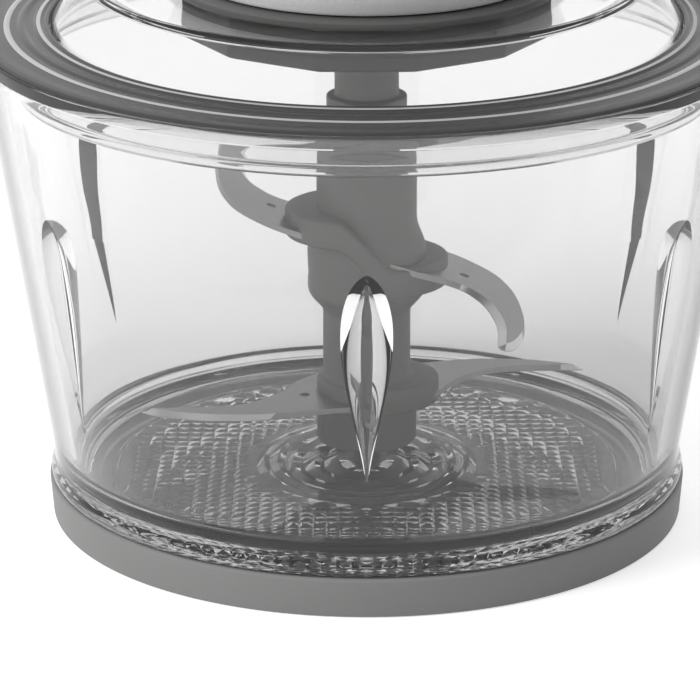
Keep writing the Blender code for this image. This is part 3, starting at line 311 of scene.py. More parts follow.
looks = {
    "ringGrey": dict(colour=(0.205, 0.205, 0.203), rough=0.55, grain=1600.0, bump=0.10, spread=0.03,
                     flagged=(0.10, 0.10, 0.10)),
    "footRubber": dict(colour=(0.05, 0.05, 0.05), rough=0.75, grain=2200.0, bump=0.2),
    # In bowlGlass and lidClear the edge entry paints shade where the glass is seen edge on.
    "bowlGlass": dict(colour=(0.83, 0.833, 0.83), rough=0.012, grain=40.0, detail=1.0, bump=0.03,
                      depth=0.0004, clear=1.0, ior=1.5, spread=0.01,
                      fade=(0.012, 0.105, (0.64, 0.642, 0.64)),
                      edge=(0.60, 0.84, (0.05, 0.051, 0.05)), edgeFlagged=True),
    "lidClear": dict(colour=(0.86, 0.86, 0.86), rough=0.02, grain=60.0, detail=1.0, bump=0.02,
                     depth=0.0003, clear=1.0, ior=1.47, spread=0.01, edge=(0.80, 1.0, (0.20, 0.20, 0.20))),
    # sealSilicone's flagged tone is a painted highlight on two ridges of the seal's top.
    "sealSilicone": dict(colour=(0.050, 0.050, 0.049), rough=0.22, grain=300.0, bump=0.02,
                         specular=0.20, flagged=(0.42, 0.42, 0.42)),
    # bladeSteel's flagged tone is a painted highlight on the ground bevel.
    "bladeSteel": dict(colour=(0.33, 0.33, 0.328), rough=0.36, metal=1.0, grain=420.0, bump=0.03,
                       stretch=(0.35, 3.0, 1.0), spread=0.04, flagged=(0.86, 0.86, 0.86)),
    "pinSteel": dict(colour=(0.58, 0.58, 0.58), rough=0.25, metal=1.0, grain=900.0, bump=0.06,
                     stretch=(1.0, 1.0, 6.0)),
    "hubPlastic": dict(colour=(0.185, 0.185, 0.18), rough=0.52, grain=1800.0, bump=0.02, spread=0.02),
    "headDark": dict(colour=(0.085, 0.085, 0.083), rough=0.42, grain=1700.0, bump=0.10, spread=0.05),
    "headLight": dict(colour=(0.90, 0.90, 0.90), rough=0.26, grain=1500.0, bump=0.03, coat=0.4, spread=0.02),
    "buttonPlastic": dict(colour=(0.11, 0.11, 0.11), rough=0.30, grain=1200.0, bump=0.04, coat=0.3),
    "gearNylon": dict(colour=(0.74, 0.72, 0.64), rough=0.5, grain=1500.0, bump=0.08),
    "laminatedIron": dict(colour=(0.26, 0.26, 0.27), rough=0.45, metal=1.0, pattern="wave", grain=320.0,
                          bump=0.25, depth=0.0002),
    "copperWire": dict(colour=(0.70, 0.34, 0.16), rough=0.34, metal=1.0, pattern="wave", direction="X",
                       grain=260.0, bump=0.5, depth=0.0003, distortion=1.2),
    "copperBars": dict(colour=(0.74, 0.42, 0.25), rough=0.3, metal=1.0, grain=700.0, bump=0.08),
    "turnedBrass": dict(colour=(0.74, 0.58, 0.29), rough=0.28, metal=1.0, grain=900.0, bump=0.06),
    "carbon": dict(colour=(0.04, 0.04, 0.04), rough=0.6, pattern="voronoi", grain=1400.0, bump=0.2),
    "motorPlastic": dict(colour=(0.15, 0.15, 0.16), rough=0.5, grain=1600.0, bump=0.12),
    "boardGreen": dict(colour=(0.04, 0.17, 0.08), rough=0.4, pattern="wave", direction="DIAGONAL",
                       grain=500.0, bump=0.1),
    "switchPlastic": dict(colour=(0.03, 0.03, 0.03), rough=0.4, grain=1300.0, bump=0.08),
}
materials = {name: makeMaterial(name, look) for name, look in looks.items()}
print("materials made:", len(materials))


def dress(piece, materialName, body, slotName, *replaced):
    # A piece gets its material, the body it rides on and the imported nodes it stands for, which are hidden.
    # slotName is not used.
    piece.data.materials.clear()
    piece.data.materials.append(materials[materialName])
    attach(piece, body)
    if replaced:
        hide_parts(*replaced)
    return piece


# The lists of steps are points about a corner of the profile, in mm.
bowl = {
    "columns": 540, "wall": 5.0 * mm, "underside": 4.5 * mm, "flatStep": 72.0 * mm,
    "foot": 78.7 * mm, "footSteps": [(-0.8, 0.0), (0.0, 0.8)],
    "seat": 10.8 * mm, "seatSteps": [(0.0, -0.3), (0.3, 0.0)],
    "bead": 82.2 * mm, "beadSteps": [(-0.8, 0.0), (-0.2, 0.3), (0.0, 1.0)],
    "beadTop": 13.7 * mm, "beadTopSteps": [(0.0, -1.0), (-0.25, 0.0), (-0.8, 1.0)],
    "waist": (81.1 * mm, 16.5 * mm), "waistSteps": [(0.1, -1.0), (0.0, 0.2)], "wallRows": 22,
    "rim": (99.0 * mm, 128.4 * mm), "rollLow": 125.0 * mm, "roll": 0.95 * mm,
    "rollFootSteps": [(0.1, 0.3)], "rollSteps": [(-0.25, 0.75), (0.0, 1.2)],
    "lip": 0.52 * mm, "lipRise": 0.9 * mm, "restSteps": [(0.0, 0.1), (-0.2, 0.0)],
    "rimCorner": 1.6 * mm, "innerFrom": 2.4 * mm,
    "floor": 13.5 * mm, "fillet": 9.0 * mm, "floorRings": (62 * mm, 50 * mm, 38 * mm),
    "bossFoot": 29.0 * mm, "bossSlope": 14.0 * mm, "bossTop": 8.0 * mm, "bossRise": 3.4 * mm,
    "pinHole": (3.8 * mm, 7.2 * mm),
}
ribs = {
    "count": 6, "crest": 79.0 * mm, "rise": 0.6, "low": 32.0 * mm, "top": 92.0 * mm, "cap": 11.0 * mm,
    "half": 6.25 * mm, "headPower": 0.62, "tailPower": 1.6, "least": 0.05, "fadeIn": 6.0 * mm,
    "backAbove": 8.0 * mm, "backBelow": 9.0 * mm, "clear": 0.3 * mm, "rows": (12, 22, 46, 8),
}
net = {
    "radius": 65.4 * mm, "grooveSteps": [(0.0, 0.0), (0.3, 0.8), (1.1, 0.8), (1.4, 0.0)],
    "pitch": 3.4 * mm, "depth": 0.58 * mm, "reach": 20, "joinWithin": 0.1 * mm,
    "cornerMargin": (1.6 * mm, 1.2 * mm), "peakMargin": (2.6 * mm, 2.4 * mm),
    "starRadius": 28.5 * mm, "starTeeth": 44, "starDepth": 1.3 * mm, "starRings": 11,
    "starShrink": 0.88, "starThinning": 0.7, "starTwist": 0.4, "fewest": 8,
}


def bowlWallOutside(height):
    # A straight line from the waist's radius to the rim's.
    low, high = bowl["waist"], bowl["rim"]
    return low[0] + (high[0] - low[0]) * (height - low[1]) / (high[1] - low[1])


def ribHalfWidth(height):
    # Teardrop outline: share^head (1 - share)^tail of the way down, scaled to its greatest width.
    share = np.clip((ribs["top"] - height) / (ribs["top"] - ribs["low"]), 0.0, 1.0)
    ahead, behind = ribs["headPower"], ribs["tailPower"]
    widest = ahead / (ahead + behind)
    shape = share ** ahead * (1 - share) ** behind / (widest ** ahead * (1 - widest) ** behind)
    return ribs["half"] * np.maximum(shape, ribs["least"])


def ribColumns(height):
    # Half of each sector's columns follow the rib, as half sin(p); the rest share what is left.
    # Away from the rib the followed width goes back to a plain strip. The swell is rise cos(p)^2.
    n = bowl["columns"]
    perSector = n // ribs["count"]
    sector = np.arange(n) // perSector
    s = (np.arange(n) % perSector) / perSector * 2 - 1
    above = np.clip((height - ribs["top"]) / ribs["backAbove"], 0.0, 1.0)
    below = np.clip((ribs["low"] - height) / ribs["backBelow"], 0.0, 1.0)
    back = np.maximum(above, below)
    half = (ribHalfWidth(height) * (1 - back) + ribs["half"] * back)[:, None]
    halfAngle = half / (bowlWallOutside(height) - bowl["wall"])[:, None]
    inside = np.abs(s) <= 0.5
    p = np.clip(s / 0.5, -1.0, 1.0)[None, :] * math.pi / 2
    q = np.clip((np.abs(s) - 0.5) / 0.5, 0.0, 1.0)[None, :]
    step = fullTurn / ribs["count"]
    swing = np.where(inside, halfAngle * np.sin(p), np.sign(s) * (halfAngle + (step / 2 - halfAngle) * q))
    return swing + sector * step - math.pi / 2, ribs["rise"] * np.cos(p) ** 2 * inside


def ribDepth(height):
    # The rib's crest is upright while the wall leans out; a quarter ellipse closes its top.
    wall = bowlWallOutside(height) - bowl["wall"]
    top = np.clip((height - ribs["top"] + ribs["cap"]) / ribs["cap"], 0.0, 1.0)
    fade = np.clip((height - ribs["low"]) / ribs["fadeIn"], 0.0, 1.0)
    depth = np.maximum(0.0, wall - ribs["crest"]) * np.sqrt(1 - top ** 2) * fade
    return depth * (height < ribs["top"])


def bowlOutside():
    # From the net's edge over a groove, the foot, its seat, the bead and the wall to the rim's roll.
    # Says too which rows are the plain wall.
    low, rollLow = bowl["underside"], bowl["rollLow"]
    outer = stepsFrom((net["radius"], low), net["grooveSteps"]) + [(bowl["flatStep"], low)]
    outer += stepsFrom((bowl["foot"], low), bowl["footSteps"])
    outer += stepsFrom((bowl["foot"], bowl["seat"]), bowl["seatSteps"])
    outer += stepsFrom((bowl["bead"], bowl["seat"]), bowl["beadSteps"])
    outer += stepsFrom((bowl["bead"], bowl["beadTop"]), bowl["beadTopSteps"])
    outer += stepsFrom(bowl["waist"], bowl["waistSteps"])
    wallFrom = len(outer) - 1
    wall = np.linspace(bowl["waist"][1], rollLow, bowl["wallRows"])[1:-1]
    outer += list(zip(bowlWallOutside(wall), wall))
    wallTo = len(outer)
    outer += stepsFrom((bowlWallOutside(rollLow), rollLow), bowl["rollFootSteps"])
    outer += stepsFrom((bowl["rim"][0] + bowl["roll"], rollLow), bowl["rollSteps"])
    return outer, wallFrom, wallTo


def bowlRim():
    # A half-round lip beside the seal, a flat seat under it, a soft inner corner.
    radius, top = bowl["rim"]
    lip, corner = bowl["lip"], bowl["rimCorner"]
    edge, inside = radius + bowl["roll"], radius - bowl["wall"]
    rim = arcPoints((edge - lip, top + bowl["lipRise"] - lip), lip, 0, 2, 9)
    rim += stepsFrom((edge - 2 * lip, top), bowl["restSteps"])
    return rim + arcPoints((inside + corner, top - corner), corner, 1, 2, 5)


def innerHeights():
    # Rows of the inner wall, close together at the ribs' round tops.
    above, cap, middle, below = ribs["rows"]
    capFoot = ribs["top"] - ribs["cap"]
    return np.concatenate([
        np.linspace(bowl["rim"][1] - bowl["innerFrom"], ribs["top"] + ribs["clear"], above),
        capFoot + ribs["cap"] * np.sin(np.linspace(math.pi / 2, 0.0, cap)),
        np.linspace(capFoot, ribs["low"], middle)[1:],
        np.linspace(ribs["low"], bowl["floor"] + bowl["fillet"], below)[1:]])


def bowlFloor():
    # A quarter circle down to the floor, then the boss, whose shoulder climbs by s^2 (3 - 2 s).
    level, fillet = bowl["floor"], bowl["fillet"]
    wall = bowlWallOutside(level + fillet) - bowl["wall"]
    floor = arcPoints((wall - fillet, level + fillet), fillet, 0, -1, 9)[1:]
    floor += [(ring, level) for ring in bowl["floorRings"]]
    share = np.linspace(0.0, 1.0, 9)
    floor += list(zip(bowl["bossFoot"] - bowl["bossSlope"] * share,
                      level + bowl["bossRise"] * share * share * (3 - 2 * share)))
    top = level + bowl["bossRise"]
    holeRadius, holeFloor = bowl["pinHole"]
    return floor + [(bowl["bossTop"], top), (holeRadius, top), (holeRadius, holeFloor)]


def netPoints(x, y, level, margins):
    # The points that lie between the star and the net's edge, clear of both by the margins.
    fromAxis = np.hypot(x, y)
    kept = (fromAxis < net["radius"] - margins[0]) & (fromAxis > net["starRadius"] + margins[1])
    return np.column_stack([x[kept], y[kept], np.full(kept.sum(), level)])


def makeNet(edgePoints):
    # The pressed underside: pyramids on a square grid, round a star whose rings go up and down.
    pitch, base, n = net["pitch"], bowl["underside"], len(edgePoints)
    steps = np.arange(-net["reach"], net["reach"] + 1) * pitch
    cx, cy = [a.ravel() for a in np.meshgrid(steps, steps)]
    corners = netPoints(cx, cy, base, net["cornerMargin"])
    peaks = netPoints(cx + pitch / 2, cy + pitch / 2, base + net["depth"], net["peakMargin"])
    star = []
    for ring in range(net["starRings"]):
        share = 1.0 - net["starShrink"] * ring / net["starRings"]
        count = max(net["fewest"], int(net["starTeeth"] * share ** net["starThinning"]))
        turn = (np.arange(count) + 0.5 * (ring % 2)) * fullTurn / count + net["starTwist"] * (1 - share)
        star.append(carriedRound(net["starRadius"] * share, base + ring % 2 * net["starDepth"], turn))
    points = np.concatenate([corners, peaks] + star + [[[0.0, 0.0, base]]])
    edges = loopEdges(n)
    # Neighbouring corners of the square grid are joined, so every peak keeps its four faces.
    gaps = corners[None, :, :2] - corners[:, None, :2]
    for axis in (0, 1):
        ahead = np.abs(gaps[..., axis] - pitch) < net["joinWithin"]
        level = np.abs(gaps[..., 1 - axis]) < net["joinWithin"]
        edges += (np.argwhere(ahead & level) + n).tolist()
    triangles = triangulate(np.concatenate([edgePoints, points])[:, :2], edges)
    return points, triangles[:, ::-1]                      # the underside faces down


def makeBowl():
    # The profile's rows are carried round the axis; the inner wall's radius loses the ribs.
    n = bowl["columns"]
    outer, wallFrom, wallTo = bowlOutside()
    rim, heights, floor = bowlRim(), innerHeights(), bowlFloor()
    profile = np.array(outer + rim + [(0.0, height) for height in heights] + floor)
    rows = len(profile)
    first = len(outer) + len(rim)
    last = first + len(heights)
    followed = np.full(rows, bowl["rim"][1])
    followed[first:last] = heights
    followed[last:] = heights[-1]
    around, swell = ribColumns(followed)
    around[last:] = around[last - 1]
    radius = np.repeat(profile[:, :1], n, axis=1)
    radius[first:last] = (bowlWallOutside(heights) - bowl["wall"])[:, None] \
        - ribDepth(heights)[:, None] * swell
    points = carriedRound(radius, profile[:, 1:], around)
    netOnly, triangles = makeNet(points[:n])
    faceSets = [gridFaces(rows, n), fanFaces((rows - 1) * n, n, rows * n, False),
                np.where(triangles < n, triangles, triangles - n + rows * n + 1)]
    points = np.concatenate([points, [[0.0, 0.0, bowl["pinHole"][1]]], netOnly])
    made = putMesh("bowl_glass", points, faceSets, True, 24.0)
    # The plain wall's faces are flagged; only there does the painted edge shade darken the glass.
    flags = np.zeros(len(made.data.polygons))
    flags[wallFrom * n:wallTo * n] = 1.0
    setFlags(made, flags)
    return dress(made, "bowlGlass", "bowl", "bowl_glass", "glass_bowl")


makeBowl()
print("bowl made")

cup = {
    "columns": 256, "radius": 82.6 * mm, "wall": 3.6 * mm, "top": 10.5 * mm, "topSoft": 0.6 * mm,
    "shelf": 4.2 * mm, "low": 1.2 * mm, "lip": 0.2 * mm, "lipInside": (1.0 * mm, 1.4 * mm),
    "lipOutside": 0.8 * mm, "corner": 0.5 * mm, "innerRows": 7,
}


def makeCup():
    # Profile with softened corners, carried round the axis; the rows inside the dish are flagged, which makes
    # them a darker grey.
    inside, radius, soft = cup["radius"] - cup["wall"], cup["radius"], cup["topSoft"]
    flat, slope = cup["lipInside"]
    line = [(0.0, cup["low"]), (inside + flat, cup["low"]), (inside + slope, cup["lip"]),
            (radius - cup["lipOutside"], cup["lip"]), (radius, cup["top"] - soft),
            (radius - soft, cup["top"]), (inside, cup["top"]), (inside, cup["shelf"]), (0.0, cup["shelf"])]
    line = rounded(line, cup["corner"], 3, closed=False)
    made = lathe("base_cup", line, cup["columns"])
    rows = np.arange(len(made.data.polygons)) // cup["columns"]
    setFlags(made, (rows >= len(line) - cup["innerRows"]) & (rows < len(line) - 1))
    return dress(made, "ringGrey", "bowl", "ring_grey", "base_dish")


makeCup()

# An arm runs from the hub out to the tip and back, in hundredths of the reach; grind says how much
# of the ground edge each of its points has.
blade = {
    "thickness": 1.4 * mm, "edgeWidth": 1.7 * mm, "leastEdge": 0.12 * mm, "edgeFoot": 0.15 * mm,
    "insetShare": 0.96, "paleFrom": 0.5, "cutRounds": 3, "hole": 1.3 * mm, "eye": 8.0 * mm,
}
upperBlade = {
    "reach": 63.0 * mm, "height": 71.6 * mm, "slope": -0.311, "holeAt": (41.3, -8.3),
    "arm": [(15.9, -23.8), (39.7, -20.6), (50.2, -33.3), (55.0, -57.1), (53.0, -85.7), (61.4, -79.4),
            (66.8, -50.8), (64.0, -14.3), (56.0, 6.3), (39.7, 16.3), (22.2, 16.8)],
    "grind": [0.0, 0.3, 1.0, 1.0, 1.0, 1.0, 0.15, 0.1, 0.1, 0.1, 0.0],
}
lowerBlade = {
    "reach": 61.4 * mm, "height": 31.7 * mm, "slope": 0.0, "holeAt": (26.1, 10.6),
    "arm": [(16.3, -21.2), (28.5, -9.8), (35.8, 5.7), (44.8, 17.1), (55.4, 23.8), (74.9, 25.7),
            (96.7, 25.4), (86.3, 32.2), (68.4, 37.5), (44.0, 37.1), (21.2, 29.3)],
    "grind": [0.0, 0.1, 0.1, 0.15, 0.2, 0.3, 0.6, 1.0, 1.0, 0.6, 0.0],
}


def cornerCut(values, rounds):
    # Each round replaces a point with two points on its sides, at 22 and 78 hundredths.
    line = np.asarray(values, dtype=float)
    for _ in range(rounds):
        ahead = np.roll(line, -1, axis=0)
        line = np.stack([0.78 * line + 0.22 * ahead, 0.22 * line + 0.78 * ahead], axis=1)
        line = line.reshape(-1, ahead.shape[1])
    return line


def bladeOutlines(own):
    # Outline of both arms, its edge's width at each point, and the top face's points, which lie
    # inside the outline by that width. Where they would cross, round a tip, they are left out.
    half = np.column_stack([np.array(own["arm"]) * own["reach"] / 100, own["grind"]])
    line = cornerCut(np.concatenate([half, half * np.array([-1.0, -1.0, 1.0])]), blade["cutRounds"])
    outline, width = line[:, :2], line[:, 2] * blade["edgeWidth"] + blade["leastEdge"]
    along = np.roll(outline, -1, axis=0) - np.roll(outline, 1, axis=0)
    normal = np.stack([-along[:, 1], along[:, 0]], axis=1) / np.linalg.norm(along, axis=1)[:, None]
    area = np.sum(outline[:, 0] * np.roll(outline[:, 1], -1) - np.roll(outline[:, 0], -1) * outline[:, 1])
    inset = outline + normal * width[:, None] * (1.0 if area > 0 else -1.0)
    apart = np.linalg.norm(inset[:, None] - outline[None], axis=2)
    clear = np.all(apart > blade["insetShare"] * width[None], axis=1)
    inset = inset[clear & loopInside(inset, outline)]
    return (outline, width, inset) if area > 0 else (outline[::-1], width[::-1], inset)


def makeBlade(name, own, node):
    # Top and underside are filled flat, walls join their loops, and the whole is tilted about y.
    outline, width, inset = bladeOutlines(own)
    x, y = [value * own["reach"] / 100 for value in own["holeAt"]]
    holes = [ringPoints(blade["eye"], 48)] + [
        ringPoints(blade["hole"], 20, (side * x, side * y)) for side in (1, -1)]
    thick = blade["thickness"] / 2
    topFlat, topTriangles = fillFlat(outline, holes, inset)
    lowFlat, lowTriangles = fillFlat(outline, holes)
    topLevels = np.full(len(topFlat), thick)
    topLevels[:len(outline)] = -thick + blade["edgeFoot"]
    count = len(topFlat)
    points = np.concatenate([np.column_stack([topFlat, topLevels]),
                             np.column_stack([lowFlat, np.full(len(lowFlat), -thick)])])
    faceSets = [topTriangles, lowTriangles[:, ::-1] + count]
    start = 0
    for index, loop in enumerate([outline] + holes):
        k, following = np.array(loopEdges(len(loop), start)).T
        sides = np.stack([k + count, following + count, following, k], axis=1)
        faceSets.append(sides if index == 0 else sides[:, ::-1])
        start += len(loop)
    tilt = math.atan(own["slope"])
    x, z = points[:, 0].copy(), points[:, 2].copy()
    points[:, 0] = x * math.cos(tilt) - z * math.sin(tilt)
    points[:, 2] = x * math.sin(tilt) + z * math.cos(tilt) + own["height"]
    made = putMesh(name, points, faceSets, True, 20.0)
    # Faces of the top that touch the outline's lower edge, where that is wide, are the ground bevel; their
    # flag paints them pale, a painted highlight along the edge.
    flags = np.zeros(len(made.data.polygons), dtype=np.float32)
    onOutline = topTriangles < len(outline)
    nearest = np.where(onOutline, topTriangles, 0).max(axis=1)
    wide = width[nearest] > blade["paleFrom"] * blade["edgeWidth"]
    flags[:len(topTriangles)] = np.any(onOutline, axis=1) & wide
    setFlags(made, flags)
    return dress(made, "bladeSteel", "blades", "blade_steel", node)


makeBlade("blade_upper", upperBlade, "upper_blade")
makeBlade("blade_lower", lowerBlade, "lower_blade")
print("blades made")

# Profiles are radius and height in mm, corners their radii; a wing is half width, half depth, thickness.
hub = {
    "profile": [(6.0, 18.6), (12.9, 18.6), (12.9, 35.3), (11.3, 36.5), (11.3, 54.6), (15.2, 59.0),
                (15.2, 71.6), (12.9, 77.6), (12.9, 95.0), (11.4, 95.0), (11.3, 89.0)],
    "corners": (0.3, 0.8, 0.6, 0.6, 1.2, 1.6, 2.0, 2.0, 0.6, 0.2, 0.2), "boreTop": 53.5 * mm,
    "upperWing": (21.0 * mm, 17.0 * mm, 7.5 * mm), "upperStep": 6.5 * mm,
    "lowerWing": (18.7 * mm, 14.6 * mm, 6.8 * mm), "lowerRise": 0.9 * mm, "lowerLeft": 0.66,
    "wingColumns": 180, "wingRamp": 0.36, "wingBend": 0.25,
    "wingEdge": [(0.3, -1.0), (0.6, -1.0), (0.85, -1.0), (0.955, -1.0), (0.985, -0.93), (1.0, -0.8),
                 (1.0, 0.0), (1.0, 0.8), (0.985, 0.93), (0.955, 1.0), (0.85, 1.0), (0.7, 1.0), (0.5, 1.0),
                 (0.3, 1.0)],
}
stem = {
    "profile": [(0.0, 89.3), (11.0, 89.3), (11.0, 94.6), (10.3, 96.0), (10.3, 110.5), (8.2, 110.5),
                (8.2, 136.1), (0.0, 136.1)],
    "corner": 0.5 * mm, "socket": 4.965 * mm, "socketDepth": 15.0 * mm, "clear": 1.0 * mm,
}


def makeWing(name, size, height, stepUp, leftShare=1.0):
    # Pad: x = a cos t, y = b sin t, the left half shortened by its share, both lifted along a
    # ramp across x, s (1 + bend - bend s^4), between a high left side and a low right side.
    halfWide, halfDeep, thick = size
    columns = hub["wingColumns"]
    turn = turnsOf(columns)
    bend = hub["wingBend"]
    rows = []
    for scale, level in hub["wingEdge"]:
        x = halfWide * scale * np.cos(turn)
        x = np.where(x < 0, x * leftShare, x)
        y = halfDeep * scale * np.sin(turn)
        share = np.clip(x / (halfWide * hub["wingRamp"]), -1.0, 1.0)
        lift = -stepUp * share * (1 + bend - bend * share ** 4)
        rows.append(np.stack([x, y, height + lift + level * thick / 2], axis=1))
    count = len(rows)
    points = np.concatenate(rows + [[[0, 0, height - thick / 2], [0, 0, height + thick / 2]]])
    faceSets = [gridFaces(count, columns), fanFaces(0, columns, len(points) - 2, True),
                fanFaces((count - 1) * columns, columns, len(points) - 1, False)]
    return putMesh(name, points, faceSets, True)


def joinSolids(made, others, operation="UNION"):
    # Union or difference of closed solids, worked out once; the others are removed afterwards.
    for other in others:
        join = made.modifiers.new("join", "BOOLEAN")
        join.operation = operation
        join.solver = "EXACT"
        join.object = other
    seen = made.evaluated_get(bpy.context.evaluated_depsgraph_get())
    mesh = bpy.data.meshes.new_from_object(seen)
    made.modifiers.clear()
    made.data = mesh
    mesh.polygons.foreach_set("use_smooth", np.full(len(mesh.polygons), True))
    mesh.set_sharp_from_angle(angle=math.radians(38))
    for other in others:
        bpy.data.objects.remove(other, do_unlink=True)
    return made


def makeHub():
    # The profile is carried round, closed by the bore's roof and the recess's floor, and joined to the wings.
    h = hub
    line = rounded(np.array(h["profile"]) * mm, np.array(h["corners"]) * mm, 4, closed=False)
    roof = [(0.0, h["boreTop"]), (line[0, 0], h["boreTop"])]
    column = lathe("hub_column", np.concatenate([roof, line, [(0.0, line[-1, 1])]]), 128)
    upper = makeWing("wing_upper", h["upperWing"], upperBlade["height"], h["upperStep"])
    lowerLevel = lowerBlade["height"] + h["lowerRise"]
    lower = makeWing("wing_lower", h["lowerWing"], lowerLevel, 0.0, h["lowerLeft"])
    joinSolids(column, [upper, lower])
    return dress(column, "hubPlastic", "blades", "hub_plastic", "blade_hub")


def makeStem():
    # Foot, collar and column, carried round, with a six-sided socket cut into the top.
    line = rounded(np.array(stem["profile"]) * mm, stem["corner"], 4, closed=False)
    made = lathe("stem_column", line, 96)
    wide, low, high = stem["socket"], line[-1, 1] - stem["socketDepth"], line[-1, 1] + stem["clear"]
    socket = lathe("stem_socket", [(0.0, low), (wide, low), (wide, high), (0.0, high)], 6)
    joinSolids(made, [socket], "DIFFERENCE")
    return dress(made, "hubPlastic", "blades", "hub_plastic", "blade_stem")


makeHub()
makeStem()
print("hub made")

lid = {
    "columns": 480, "sides": 12, "holeCorner": 48.54 * mm, "plateFrom": 52.0 * mm, "plateTop": 141.0 * mm,
    "wall": 1.7 * mm, "foldFrom": 65.5 * mm, "foldSoft": 0.4 * mm, "foldDrop": 1.25,
    "rimRadius": 71.0 * mm, "rimTop": 143.5 * mm, "rimFlat": 0.6, "shoulder": 80.1 * mm,
    "knee": 131.0 * mm, "rest": 128.1 * mm, "skirt": 89.0 * mm, "skirtLow": 116.6 * mm,
    "beadOut": 0.5 * mm, "beadIn": 0.7 * mm, "beadRise": 2.3 * mm, "beadSoft": 0.6 * mm,
    "corners": (0.0, 2.0, 0.5, 1.2, 0.8, 0.4, 0.3, 0.7, 0.9, 0.9, 0.7, 0.3, 0.6, 0.6, 1.8, 0.6, 0.6,
                2.0, 0.0),
}


def twelveSided(radius, turn, sides):
    # Distance to a regular outline: r cos(h) / cos(a), h half a step, a the turn from a side's middle.
    step = fullTurn / sides
    return radius * math.cos(step / 2) / np.cos((turn + step / 2) % step - step / 2)


def makeLid():
    # The profile is carried round; its last two rows follow the twelve-sided hole.
    h = lid
    w, rest, skirt, skirtLow = h["wall"], h["rest"], h["skirt"], h["skirtLow"]
    shoulder, knee, rim, rimTop = h["shoulder"], h["knee"], h["rimRadius"], h["rimTop"]
    turn = turnsOf(h["columns"])
    # Both sides of the slope climb alike, so it bends no view of what lies behind it.
    climb = (rimTop - knee) / (shoulder - rim)
    slant = w * math.hypot(1.0, climb)
    foldUnder = rimTop - h["foldDrop"] * w
    innerRim = rim + (rimTop - foldUnder - slant) / climb
    plateTop, plateUnder = h["plateTop"], h["plateTop"] - w
    bead = skirtLow + h["beadRise"]
    beadFoot, beadOut, beadIn = bead + h["beadSoft"], skirt - h["beadOut"], skirt - w - h["beadIn"]
    line = [(h["plateFrom"], plateUnder), (h["foldFrom"] + h["foldSoft"], plateUnder),
            (innerRim, foldUnder), (shoulder - w, knee + w * climb - slant), (shoulder - w, rest - w),
            (skirt - w, rest - w), (skirt - w, beadFoot), (beadIn, bead), (beadIn, skirtLow),
            (skirt, skirtLow), (skirt, bead), (beadOut, beadFoot), (beadOut, rest), (shoulder, rest),
            (shoulder, knee), (rim, rimTop), (rim - h["rimFlat"] * w, rimTop),
            (h["foldFrom"], plateTop), (h["plateFrom"], plateTop)]
    line = rounded(line, np.array(h["corners"]) * mm, 5, closed=False)
    hole = twelveSided(h["holeCorner"], turn, h["sides"])
    radius = np.concatenate([np.repeat(line[:, :1], h["columns"], axis=1), [hole, hole]])
    height = np.concatenate([line[:, 1:], [[plateTop], [plateUnder]]])
    faces = gridFaces(len(height), h["columns"], rowsClose=True)
    made = putMesh("lid_clear", carriedRound(radius, height, turn), [faces], True, 30.0)
    return dress(made, "lidClear", "lid", "lid_clear", "lid_cover")


# Radius and height in mm, from the inner edge's foot out under the seal and back over its rings.
seal = {
    "columns": 320, "corner": 0.3 * mm, "topFrom": 130.0 * mm, "paintedHighlightRings": [(90.3, 91.9), (82.6, 83.6)],
    "profile": [(80.4, 131.1), (80.4, 128.4), (90.0, 128.4), (90.0, 128.7), (98.8, 128.7), (98.8, 129.4),
                (98.2, 129.9), (96.6, 130.1), (94.4, 130.1), (92.0, 130.3), (91.2, 130.6), (90.2, 130.4),
                (88.6, 130.4), (87.8, 130.9), (86.9, 131.0), (86.0, 130.6), (84.4, 130.6), (83.6, 131.2),
                (82.6, 131.3), (81.8, 130.9), (81.2, 131.3)],
}


def makeSeal():
    # The softened profile is carried round; two narrow rings on the crests of its top are flagged and drawn
    # pale, a painted highlight.
    line = rounded(np.array(seal["profile"]) * mm, seal["corner"], 4)
    made = lathe("seal_ring", line, seal["columns"], None)
    middle = (line[:, 0] + np.roll(line[:, 0], -1)) / 2 / mm
    paintedHighlight = np.zeros(len(line), dtype=bool)
    for first, last in seal["paintedHighlightRings"]:
        paintedHighlight |= (middle > first) & (middle < last)
    setFlags(made, np.repeat(paintedHighlight & (line[:, 1] > seal["topFrom"]), seal["columns"]))
    return dress(made, "sealSilicone", "lid", "seal_silicone", "lid_seal")


makeLid()
makeSeal()
print("lid made")

headBase = {
    "columns": 480, "sides": 12, "corner": 48.24 * mm, "low": 128.8 * mm, "lowShare": 0.93,
    "band": (1.2 * mm, 4.4 * mm, 4.9 * mm), "bandShare": 0.992, "flange": 51.0 * mm,
    "flangeLow": 141.3 * mm, "flangeTop": 143.3 * mm, "bay": 43.0 * mm, "ledge": 137.7 * mm,
    "well": 39.0 * mm, "floor": 131.4 * mm, "mouth": 9.4 * mm,
    "corners": (0.3, 0.6, 0.5, 0.2, 0.2, 0.2, 0.5, 0.5, 0.3, 0.2, 0.2, 0.2, 0.2),
    "slot": (4.4 * mm, 3.0 * mm, 1.4 * mm), "slotColumns": 24, "slotRise": 6.0 * mm, "slotShift": 0.66,
}


